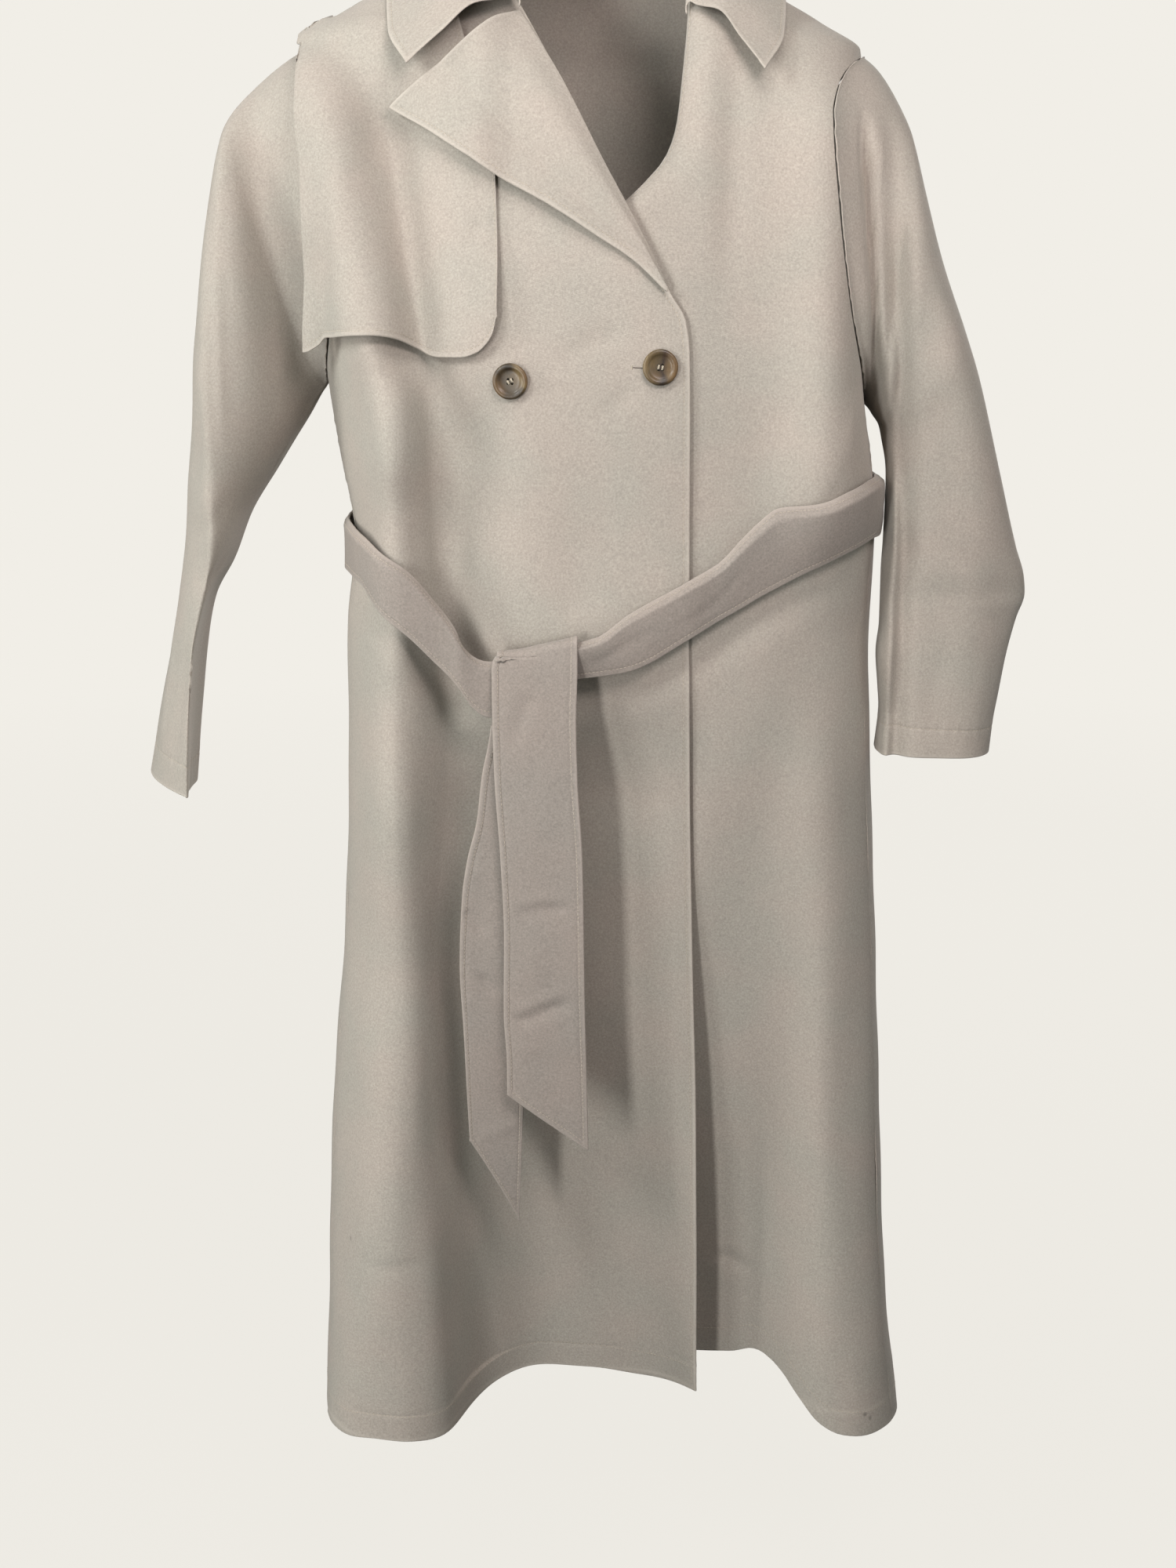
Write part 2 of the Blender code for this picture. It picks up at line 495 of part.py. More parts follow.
def collar_grid(ts, ws):
    """Columns run round the neck, rows run up the stand, over the fold and down the fall."""
    cols = []
    for t in ts:
        base = np.array([column(COLLAR, "t", k, t) for k in ("bx", "by", "bz")])
        edge = np.array([column(COLLAR, "t", k, t) for k in ("ex", "ey", "ez")])
        stand = float(column(COLLAR, "t", "stand", t))
        out = edge - base
        out[2] = 0
        out /= np.linalg.norm(out)
        up = np.array([0, 0, 1.0])
        top = base + up * stand
        pts = np.array([base, base + up * stand * 0.5 - out * 0.0005, top, top + up * 0.003 + out * 0.0035,
                        top + up * 0.0005 + out * 0.0080,
                        top + (edge - top) * 0.35 + up * 0.012 + out * 0.004,
                        top + (edge - top) * 0.7 + up * 0.008, edge])
        run = np.concatenate([[0], np.cumsum(np.linalg.norm(np.diff(pts, axis=0), axis=1))])
        run /= run[-1]
        cols.append(np.stack([through(run, pts[:, k], ws) for k in range(3)], -1))
    return np.array(cols)


# ---------------------------------------------------------------- belt
# Upper and lower edge of the sash round the waist, by the angle round the body (degrees),
# and how far each edge stands off the coat (mm).
BELT = table(
    "deg    top    low   off_top off_low",
    (-276,  -533,  -562,   13,  10),   # behind the knot, coming from the right
    (-270,  -524,  -553,   12,   9),
    (-265.5, -504, -548,   12,  10),
    (-256,  -479,  -524,   11,   9),
    (-250,  -465,  -510,   10,   7),
    (-245,  -446,  -500,   10,   6),
    (-241,  -434,  -492,   10,   6),
    (-236,  -424,  -484,   10,   6),
    (-226,  -421,  -470,  9.5,   6),
    (-215,  -411,  -458,  8.5,   6),
    (-200,  -404,  -450,    7,   6),
    (-180,  -403,  -450,  5.6, 3.8),
    (-150,  -408,  -460,    7,   7),
    (-120,  -414,  -472,    8,   8),
    (-90,   -420,  -480,    8,   8),
    (-60,   -426,  -482,    8,   8),
    (-30,   -431,  -482,    7,   7),
    (-12,   -434,  -481,    5,   6),
    (0,     -437,  -480,  6.5, 7),
    (15,    -440,  -478,    7,   7),
    (29,    -446,  -482,    7,   6),
    (44,    -464,  -508,  8.5,   7),
    (57,    -497,  -541,  8.5,   7),
    (65,   -522,  -562,   11,  10),
    (74,   -541,  -584, 11.5, 11.5),
    (83.6, -538,  -578,   11,  11),   # behind the knot, coming from the left
)


def spanned(near, plain, k=0.008):
    """The front of two surfaces, with a soft change between them."""
    h = np.clip(0.5 + 0.5 * (near - plain) / k, 0, 1)
    return near + (plain - near) * h - k * h * (1 - h)


# What the drawn sash lies on where it bridges a fold of the front.
FOLDS_SASH = table(FOLD,
    (-150, -560, -1215, -1300, -1301, -178,  -52,  48,  65, 4),   # lobe over the side
    (-152, -320,  -400,  -620,  -820, -160,  -31,  29,  84, 2),   # from the ridge across to the knot
)


def belt_grid(ts, ws, thick=0.0):
    """Columns run round the waist, rows run from the upper to the lower edge."""
    deg = BELT["deg"][0] + (BELT["deg"][-1] - BELT["deg"][0]) * ts
    cols = []
    for a in deg:
        top, low = through(BELT["deg"], BELT["top"], a) * MM, through(BELT["deg"], BELT["low"], a) * MM
        o_top, o_low = through(BELT["deg"], BELT["off_top"], a) * MM, through(BELT["deg"], BELT["off_low"], a) * MM
        z = top + (low - top) * ws
        off = o_top + (o_low - o_top) * ws + thick
        phi = np.radians(a + 360 if a < -180 else a) + 0 * z
        own = FOLDS_TOP_FRONT if np.cos(phi[0]) > 0 else FOLDS_UNDER_FRONT
        p = body(phi, z, own)
        d = 0.01
        tangent = body(phi + d, z, own) - body(phi - d, z, own)
        n = np.stack([tangent[:, 1], -tangent[:, 0], 0 * z], -1)
        n /= np.linalg.norm(n, axis=-1, keepdims=True)
        # across the front it lies on the outer front and bridges its troughs
        y_front = spanned(outer_front_y(p[:, 0], z), body(phi_front(p[:, 0], z), z, FOLDS_SASH)[:, 1] - 0.5 * lap(p[:, 0], z))
        w = (1 - smooth(0.88, 0.96, np.abs(np.cos(phi)))) * (np.sin(phi) > 0)
        p[:, 1] += (y_front - p[:, 1]) * w
        n = np.where((n[:, :1] * p[:, :1] + n[:, 1:2] * p[:, 1:2]) < 0, -n, n)
        cols.append(p + n * off[:, None])
    return np.array(cols).transpose(1, 0, 2)


# The two tails: left and right edge and depth at each level (mm).
TAIL_FRONT = table(
    "z      left  right  yl    yr",
    (-530,  -70,  -9,  -137, -140),
    (-545,  -74,  -9,  -138, -142),
    (-585,  -74, -10,  -139, -143),
    (-631,  -73,  -9,  -140, -144),
    (-700,  -69,  -5,  -141, -146),
    (-760,  -67,  -4,  -141, -146),
    (-831,  -68,  -3,  -141, -145),
    (-870,  -66,  -2,  -142, -144),
    (-960,  -66,   0,  -142, -143),
)
TAIL_REAR = table(
    "z      left  right  yl    yr",
    (-560,  -72,  -24,  -130, -130),
    (-602,  -77,  -24,  -131, -131),
    (-631,  -83,  -26,  -132, -131),
    (-670,  -88,  -30,  -132, -131),
    (-702,  -96,  -36,  -132, -131),
    (-735, -101,  -42,  -131, -131),
    (-798, -104,  -50,  -130, -131),
    (-847, -102,  -53,  -130, -130),
    (-911, -100,  -54,  -131, -129),
    (-960,  -98,  -56,  -132, -128),
    (-1030, -96,  -59,  -132, -127),
)


def tail_grid(tab, us, vs, z_top, z_left, z_right):
    """Strip of belt hanging from the knot, cut to a point at its right edge."""
    rows = []
    for v in vs:
        z = z_top + (z_left + (z_right - z_left) * us - z_top) * v
        left, right = column(tab, "z", "left", z), column(tab, "z", "right", z)
        yl, yr = column(tab, "z", "yl", z), column(tab, "z", "yr", z)
        rows.append(np.stack([left + (right - left) * us, yl + (yr - yl) * us, z], -1))
    return np.array(rows)


BUTTONS = table("x z", (-58, -328), (54, -318))


TURN_R = 0.0078       # the front tail turns back over the belt with this radius


def turned_tail(tab, us, back_drop=0.030, n_turn=6, n_down=12, z_left=-0.900, z_right=-0.949):
    """The front tail with its turn over the knot: up behind the belt, over it, then down in front."""
    top = tab["z"][0] * MM
    front = tail_grid(tab, us, np.linspace(0, 1, n_down), top, z_left, z_right)
    head = front[0]
    rise = TURN_HEAD["rise"] * MM
    rows = []
    for a in np.linspace(pi, 0, n_turn, endpoint=False):
        p = head.copy()
        p[:, 1] += TURN_R + TURN_R * -math_cos(a)
        p[:, 2] += TURN_R * 0.9 * np.sin(a) + through(TURN_HEAD["u"], rise, us) * 1.0
        rows.append(p)
    rows = rows[::1]
    low = rows[0].copy()
    low[:, 2] -= back_drop
    front[0][:, 2] += through(TURN_HEAD["u"], rise, us)
    front[1][:, 2] += through(TURN_HEAD["u"], rise, us) * 0.5
    return np.concatenate([[low], rows, front])


def math_cos(a):
    return float(np.cos(a))


# the top of the turn rises towards the right (mm, by the fraction across)
TURN_HEAD = table("u rise", (0, -9), (0.25, -8), (0.6, -3), (1, 3))


# ---------------------------------------------------------------- Blender
CLOTH = 0.0012        # one layer of coat cloth, with its facing where it has one
SASH = 0.0020         # the sash is sewn double
BUTTON_R, BUTTON_H = 0.0134, 0.0042

for old in list(bpy.data.objects):
    bpy.data.objects.remove(old, do_unlink=True)
coat = bpy.data.collections.new("trench_coat")
cutters = bpy.data.collections.new("cutters")
bpy.context.scene.collection.children.link(coat)
bpy.context.scene.collection.children.link(cutters)


def material(name, rgb, rough):
    m = bpy.data.materials.new(name)
    m.use_nodes = True
    shader = m.node_tree.nodes["Principled BSDF"]
    shader.inputs["Base Color"].default_value = (*rgb, 1)
    shader.inputs["Roughness"].default_value = rough
    shader.inputs["Metallic"].default_value = 0.0
    return m


def shell(name, grid, thick, tint, outward=True, ring=False, inward=True):
    """A cloth piece: the open surface through its rows, thickened by Solidify."""
    rows, cols = grid.shape[:2]
    bm = bmesh.new()
    verts = [[bm.verts.new(p) for p in row] for row in grid.tolist()]
    for r in range(rows - 1):
        for c in range(cols if ring else cols - 1):
            d = (c + 1) % cols
            quad = (verts[r][c], verts[r + 1][c], verts[r + 1][d], verts[r][d])
            bm.faces.new(quad if outward else quad[::-1])
    mesh = bpy.data.meshes.new(name)
    bm.to_mesh(mesh)
    bm.free()
    mesh.shade_smooth()
    piece = bpy.data.objects.new(name, mesh)
    coat.objects.link(piece)
    wall = piece.modifiers.new("wall", "SOLIDIFY")
    wall.thickness = thick
    wall.offset = -1 if inward else 1
    piece.data.materials.append(material(name, tint, 0.85))
    return piece


n_arm, n_skirt = 8, 20
down_left, down_right = levels("left", n_arm, n_skirt), levels("right", n_arm, n_skirt)
across = np.linspace(0, 1, 12)
round_sleeve = np.linspace(0, 2 * pi, 2 * n_arm, endpoint=False)

shell("front_right", front_panel("left", across, down_left), CLOTH, (0.55, 0.50, 0.43))
shell("front_left", front_panel("right", across, down_right), CLOTH, (0.53, 0.48, 0.41), outward=False)
even_back = np.linspace(0, 1, 17)
back_across = even_back - 0.085 * np.sin(2 * pi * even_back)      # closer together round the sides
shell("back", back_panel(back_across, down_left, down_right), CLOTH, (0.50, 0.46, 0.39), outward=False)
shell("sleeve_right", sleeve("left", np.linspace(0, SLEEVE_LEFT["s"][-1] * MM, 17), round_sleeve), CLOTH,
      (0.52, 0.48, 0.42), outward=True, ring=True)
shell("sleeve_left", sleeve("right", np.linspace(0, SLEEVE_RIGHT["s"][-1] * MM, 17), round_sleeve), CLOTH,
      (0.49, 0.45, 0.39), outward=False, ring=True)
flap_across = np.concatenate([np.linspace(0, 0.84, 7), [0.92, 0.97, 1.0]])
shell("storm_flap", flap_grid(flap_across, np.linspace(0, 1, 10)), CLOTH, (0.58, 0.53, 0.46))
shell("lapel_right", lapel_grid(np.linspace(0, 0.985, 10), np.linspace(0, 1, 6)), CLOTH, (0.60, 0.55, 0.48), outward=False)
shell("collar", collar_grid(np.linspace(0, 1, 23), np.linspace(0, 1, 9)), CLOTH, (0.57, 0.52, 0.45))
shell("belt_loop", belt_grid(np.linspace(0, 1, 46), np.linspace(0, 1, 3)), SASH, (0.56, 0.51, 0.44), outward=True)
strip = np.linspace(0, 1, 4)
shell("belt_tail_front", turned_tail(TAIL_FRONT, strip), SASH, (0.54, 0.50, 0.44))
shell("belt_tail_rear", tail_grid(TAIL_REAR, strip, np.linspace(0, 1, 13), -0.592, -0.946, -1.021), SASH, (0.52, 0.48, 0.42))


def button(name, x, z, tint):
    """A turned button with a raised rim and a dished middle, four holes through it."""
    r, h = BUTTON_R, BUTTON_H
    profile = [(0, h * 0.62), (r * 0.30, h * 0.60), (r * 0.62, h * 0.68), (r * 0.74, h * 0.95), (r * 0.86, h),
               (r * 0.97, h * 0.80), (r, h * 0.48), (r * 0.90, h * 0.14), (r * 0.55, 0), (0, 0)]
    bm = bmesh.new()
    line = [bm.verts.new((px, 0, pz)) for px, pz in profile]
    for a, b in zip(line[:-1], line[1:]):
        bm.edges.new((a, b))
    mesh = bpy.data.meshes.new(name)
    bm.to_mesh(mesh)
    bm.free()
    piece = bpy.data.objects.new(name, mesh)
    coat.objects.link(piece)
    turn = piece.modifiers.new("turn", "SCREW")
    turn.steps = turn.render_steps = 24
    turn.use_merge_vertices = True
    turn.merge_threshold = 0.00001
    turn.use_smooth_shade = True
    bm = bmesh.new()
    for i in range(4):
        ang = pi / 4 + i * pi / 2
        made = bmesh.ops.create_cone(bm, cap_ends=True, segments=8, radius1=0.0009, radius2=0.0009, depth=0.012)
        bmesh.ops.translate(bm, verts=made["verts"], vec=(0.0021 * math.cos(ang), 0.0021 * math.sin(ang), 0.002))
    holes_mesh = bpy.data.meshes.new(name + "_holes")
    bm.to_mesh(holes_mesh)
    bm.free()
    holes = bpy.data.objects.new(name + "_holes", holes_mesh)
    cutters.objects.link(holes)
    holes.hide_render = True
    holes.display_type = "WIRE"
    holes.parent = piece
    cut = piece.modifiers.new("holes", "BOOLEAN")
    cut.operation = "DIFFERENCE"
    cut.object = holes
    piece.data.materials.append(material(name, tint, 0.35))
    # it faces out of the front and stands on its thread shank
    at = moved_out(np.array([x]), np.array([z]), np.array([0.0009]), top_front_y)[0]
    out = at - moved_out(np.array([x]), np.array([z]), np.array([0.0]), top_front_y)[0]
    piece.location = at
    piece.rotation_mode = "QUATERNION"
    piece.rotation_quaternion = Vector(out).to_track_quat("Z", "Y")
    return piece


for (name, tint), x, z in zip((("button_right", (0.20, 0.14, 0.09)), ("button_left", (0.22, 0.15, 0.09))),
                              BUTTONS["x"] * MM, BUTTONS["z"] * MM):
    button(name, float(x), float(z), tint)
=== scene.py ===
"""Trench coat, filled out with no wearer: the looks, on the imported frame.

Every cloth piece is a thin shell on the form that its solid has, worked out from the same
named sizes, with its creases, rolled edges, stitch grooves and threads added.
"""
import math
import bpy
import bmesh
import numpy as np
from math import pi
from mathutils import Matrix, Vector


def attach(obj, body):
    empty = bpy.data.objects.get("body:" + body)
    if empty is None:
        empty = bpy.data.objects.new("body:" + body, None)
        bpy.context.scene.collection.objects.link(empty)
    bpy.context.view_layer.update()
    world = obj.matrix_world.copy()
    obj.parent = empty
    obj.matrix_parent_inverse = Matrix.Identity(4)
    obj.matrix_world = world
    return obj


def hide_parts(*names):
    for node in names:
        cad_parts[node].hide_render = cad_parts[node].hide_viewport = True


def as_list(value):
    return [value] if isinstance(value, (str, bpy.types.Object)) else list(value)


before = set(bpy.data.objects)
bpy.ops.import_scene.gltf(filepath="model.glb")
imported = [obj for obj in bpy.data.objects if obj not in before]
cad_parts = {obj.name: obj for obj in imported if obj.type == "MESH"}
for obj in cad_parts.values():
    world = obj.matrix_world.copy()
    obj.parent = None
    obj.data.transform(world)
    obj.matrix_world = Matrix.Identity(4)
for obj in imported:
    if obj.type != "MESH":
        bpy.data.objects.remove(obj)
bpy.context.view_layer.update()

MM = 0.001

# ---------------------------------------------------------------- tables
def table(columns, *rows):
    """Named columns from rows of sizes."""
    names = columns.split()
    block = np.array(rows, float)
    return {n: block[:, i] for i, n in enumerate(names)}


def smooth(a, b, x):
    t = np.clip((np.asarray(x, float) - a) / (b - a), 0.0, 1.0)
    return t * t * (3.0 - 2.0 * t)


def through(xs, ys, at):
    """A smooth line through table rows that never overshoots them."""
    xs = np.asarray(xs, float)
    ys = np.asarray(ys, float)
    if xs[0] > xs[-1]:
        xs, ys = xs[::-1], ys[::-1]
    h = np.diff(xs)
    d = np.diff(ys) / h
    m = np.zeros_like(ys)
    for i in range(1, len(xs) - 1):
        if d[i - 1] * d[i] > 0:
            w1 = 2 * h[i] + h[i - 1]
            w2 = h[i] + 2 * h[i - 1]
            m[i] = (w1 + w2) / (w1 / d[i - 1] + w2 / d[i])
    m[0] = d[0]
    m[-1] = d[-1]
    at = np.clip(np.asarray(at, float), xs[0], xs[-1])
    i = np.clip(np.searchsorted(xs, at, side="right") - 1, 0, len(xs) - 2)
    t = (at - xs[i]) / h[i]
    return ((2 * t**3 - 3 * t**2 + 1) * ys[i] + (t**3 - 2 * t**2 + t) * h[i] * m[i]
            + (-2 * t**3 + 3 * t**2) * ys[i + 1] + (t**3 - t**2) * h[i] * m[i + 1])


def column(tab, key, name, at):
    """A column of a table in millimetres, read at a place along its key column, in metres."""
    return through(tab[key] * MM, tab[name] * MM, at)


# ---------------------------------------------------------------- body form (mm)
# A row for each level of the hollow body: half widths to the two sides, depth of the
# widest line, of the front and of the back, and how square the front and back are.
FORM = table(
    "z      xl    xr    ys    yf    yb    nf    nb",
    (0,      78,   78,    0,  -30,   50,  2.0,  2.0),
    (-30,   132,  130,    0,  -54,   74,  2.0,  2.0),
    (-60,   186,  182,    0,  -72,   87,  2.0,  2.0),
    (-80,   224,  214,    0,  -82,   93,  2.1,  2.1),
    (-130,  226,  216,    0,  -99,   99,  2.2,  2.2),
    (-200,  224,  217,    0, -112,  104,  2.3,  2.3),
    (-265,  218,  218,    0, -119,  104,  2.4,  2.4),
    (-330,  211,  222,    0, -121,  102,  2.5,  2.4),
    (-400,  200.5, 232,   -4, -119,  100,  2.5,  2.4),
    (-450,  192,  237,   -8, -118,  100,  2.5,  2.4),
    (-520,  200,  235.5,  -12, -118,  101,  2.5,  2.4),
    (-670,  204,  241,  -22, -118,  106,  2.5,  2.4),
    (-800,  210.5, 249,  -32, -118,  113,  2.6,  2.5),
    (-900,  220.5, 254,  -42, -119,  119,  2.6,  2.5),
    (-1000, 227,  259,  -52, -120,  126,  2.6,  2.5),
    (-1100, 231,  267,  -62, -120,  132,  2.6,  2.5),
    (-1215, 237,  282,  -72, -120,  139,  2.6,  2.5),
)
HEM = -1.210

# Soft folds: a push to the front (-) or back (+) along a line that runs down from x0 at
# level z0 to x3 at level z3; it grows from z0 to z1 and fades from z2 to z3.
FOLD = "x0    z0     z1     z2     z3    x3    push  w0   w3  p"
FOLDS_TOP_FRONT = table(FOLD,
    (-150, -560, -1215, -1300, -1301, -178,  -52,  48,  65, 4),   # lobe over the side
    (-24,  -510,  -665, -1300, -1301,    2,   40, 100, 108, 4),   # hollow that the tails hang in
    (-20,  -600, -1215, -1300, -1301,    2,   28, 100, 108, 4),   # it deepens to the hem
    (-40,  -700, -1215, -1300, -1301,  -50,    8,  40,  38, 2),   # deepest near its left end
    (-110, -700,  -800,  -900, -1080, -106,   12,  26,  26, 2),   # its left wall swings outwards
    (-162, -560,  -680,  -950, -1215, -165,  -12,  30,  34, 2),   # ridge beside that wall
    (-210,  -70,  -140,  -300,  -430, -142,  -34,  24,  26, 2),   # long fold, its ridge by the armhole
    (-158,  -90,  -160,  -290,  -390, -112,   12,  20,  24, 2),   # its trough down the flap
    (-152, -320,  -400,  -620,  -820, -160,  -31,  29,  34, 2),   # its ridge at the waist
    (-94,  -310,  -390,  -500,  -760, -102,   19,  28,  32, 2),   # its trough at the waist
)
FOLDS_UNDER_FRONT = table(FOLD,
    (70,   -500, -1215, -1300, -1301,   70,   78,  90, 110, 2.5), # hollow beside the edge, rising slowly
    (200,  -560, -1215, -1300, -1301,  228,  -24,  44,  50, 3),   # a little fuller over the side
    (110,   -60,  -140,  -200,  -290,  104,    4,  12,  12, 2),
    (190,   -60,  -150,  -380,  -540,  194,  -36,  40,  40, 2),   # fuller beside the armhole
    (190,  -560,  -680,  -900, -1215,  200,   -6,  26,  30, 2),   # ridge down the side
)
FOLDS_BACK = table(FOLD,
    (-140, -480, -1215, -1300, -1301, -168,   26,  40,  46, 3),
    (-60,  -420, -1215, -1300, -1301,  -84,  -34,  36,  44, 3),
    (10,   -520, -1215, -1300, -1301,    6,   18,  44,  50, 3),
    (80,   -420, -1215, -1300, -1301,  106,  -36,  36,  44, 3),
    (160,  -480, -1215, -1300, -1301,  196,   28,  40,  48, 3),
)


def fold_push(folds, x, z):
    total = np.zeros(np.broadcast(x, z).shape)
    for x0, z0, z1, z2, z3, x3, push, w0, w3, p in zip(*(folds[k] for k in FOLD.split())):
        f = np.clip((z - z0 * MM) / ((z3 - z0) * MM), 0, 1)
        grow = smooth(-z0 * MM, -z1 * MM, -z) * (1 - smooth(-z2 * MM, -z3 * MM, -z))
        centre = (x0 + (x3 - x0) * f) * MM
        width = (w0 + (w3 - w0) * f) * MM
        # a fold starts soft and takes its own section as it grows
        p = 2 + (p - 2) * np.clip((z - z0 * MM) / ((z1 - z0) * MM), 0, 1) ** 2
        total = total + push * MM * grow * np.exp(-np.abs((x - centre) / width) ** p)
    return total


def form(name, z):
    return through(FORM["z"] * MM, FORM[name] * (1.0 if name in ("nf", "nb") else MM), z)


def body(phi, z, folds=None):
    """Point of the body form: phi 0 at the left side, pi/2 in front, pi at the right, negative behind."""
    c, s = np.cos(phi), np.sin(phi)
    e = 2.0 / np.where(s >= 0, form("nf", z), form("nb", z))
    x = np.where(c > 0, -form("xl", z), form("xr", z)) * np.abs(c) ** e
    depth = np.where(s >= 0, form("yf", z), form("yb", z)) - form("ys", z)
    y = form("ys", z) + depth * np.abs(s) ** e
    if folds is not None:
        push = np.where(s >= 0, fold_push(folds, x, z), fold_push(FOLDS_BACK, x, z))
        y = y + push * smooth(0.0, 0.36, np.abs(s))
    return np.stack([x, y, z + 0 * x], -1)


def phi_front(x, z):
    """Angle of the front point at a given x."""
    a = np.where(x < 0, form("xl", z), form("xr", z))
    c = np.clip(np.abs(x) / a, 0, 1) ** (form("nf", z) / 2.0)
    return np.arccos(np.where(x < 0, c, -c))


# ---------------------------------------------------------------- panel edges (mm)
ARM_L = table("z xf xb", (-80, 224, 224), (-92, 211, 213), (-110, 202, 206), (-135, 196, 202),
              (-200, 195, 202), (-265, 199, 204), (-300, 205, 207), (-318, 209, 209.6), (-328, 211, 211))
ARM_R = table("z xf xb", (-84, 214.34, 214.34), (-96, 199, 203), (-112, 188, 194), (-135, 182, 190),
              (-200, 188, 193), (-265, 198, 202), (-300, 207, 209), (-330, 217.5, 219), (-343, 223, 223))
# the side seams lie a little in front of the widest line (hundredths of a radian)
SEAM = table("z left right", (-328, 8, 8), (-420, 20, 22), (-500, 25, 30), (-1215, 26, 28))
EDGE_TOP = table("z x", (0, -78), (-30, -66), (-60, -49), (-100, -27), (-146, -3), (-199, 27), (-240, 49),
                 (-265, 61), (-283, 72), (-307, 75.5), (-395, 77), (-479, 78), (-642, 81), (-780, 85),
                 (-917, 90), (-1093, 94), (-1215, 96))
EDGE_UNDER = table("z x", (0, 78), (-60, 75), (-110, 70), (-146, 65), (-165, 58), (-180, 46), (-194, 32),
                   (-205, 20), (-240, -12), (-290, -62), (-330, -78), (-500, -80), (-900, -82), (-1215, -84))
# the fronts' hems hang in a curve (mm that the hem is lifted, by its place across)
LIFT_TOP = table("x lift", (-262, -10), (-215, -5), (-180, 0), (-150, -1), (-112, -6), (-84, -2), (0, 1), (50, -4), (100, -2))
LIFT_UNDER = table("x lift", (-90, 0), (60, 8), (103, 11), (130, 18), (153, 29), (170, 22), (187, 4), (204, -14),
                   (224, -22), (273, -25), (290, -25))
Z_NECK, Z_YOKE = 0.0, -0.10
LAP = 0.0045          # the top front lies this far in front of the under front
NECK_ROLL = 0.016     # radius of the soft roll along the under front's neck edge
NECK_DROP = 0.020     # depth of the back neck below the shoulder points
SHOULDER_GAP = 0.0010 # each side of a shoulder seam, where the walls lean towards each other
GAP = 0.0006          # half of this, at least 0.3 mm, is left clear on each side of a seam


def side_phi(z, side, part):
    """Angle from the widest line to a panel's side edge: the armhole, then the side seam."""
    tab, width = (ARM_L, "xl") if side == "left" else (ARM_R, "xr")
    x, n = (tab["xf"], "nf") if part == "front" else (tab["xb"], "nb")
    hole = np.arccos(np.clip(through(tab["z"] * MM, x * MM, z) / form(width, z), 0, 1) ** (form(n, z) / 2))
    seam = through(SEAM["z"] * MM, SEAM[side] * 0.01, z) * (1 if part == "front" else -1)
    return np.where(z > tab["z"][-1] * MM + 1e-9, hole, seam)


def even(points, us):
    """Spread columns evenly along a row."""
    step = np.linalg.norm(np.diff(points, axis=0), axis=1)
    run = np.concatenate([[0], np.cumsum(step)])
    run = run / run[-1]
    return np.stack([np.interp(us, run, points[:, k]) for k in range(3)], -1)


def levels(side, n_arm, n_skirt):
    """Heights of a panel's rows: down the armhole, then down to the hem."""
    tab = ARM_L if side == "left" else ARM_R
    top, low = tab["z"][0] * MM, tab["z"][-1] * MM
    arm = (top + low) / 2 + (top - low) / 2 * np.cos(np.linspace(0, pi, n_arm + 1))
    return np.concatenate([arm, np.linspace(low, HEM, n_skirt + 1)[1:]])


def slope(side, z):
    """Height of a row at its neck end: level at the underarm, up to the neck point at the top."""
    tab = ARM_L if side == "left" else ARM_R
    top, low = tab["z"][0] * MM, tab["z"][-1] * MM
    return np.where(z > low, low + (Z_NECK - low) * (z - low) / (top - low), z)


def lap(x, z):
    """How far the top front lies in front of the form, where it covers the under front."""
    return LAP * smooth(-0.13, -0.085, x) * smooth(0.05, 0.17, -z)


def top_front_y(x, z):
    """Depth of the top front at a place seen from the front."""
    return body(phi_front(x, z), z, FOLDS_TOP_FRONT)[..., 1] - lap(x, z)


def under_front_y(x, z):
    return body(phi_front(x, z), z, FOLDS_UNDER_FRONT)[..., 1]


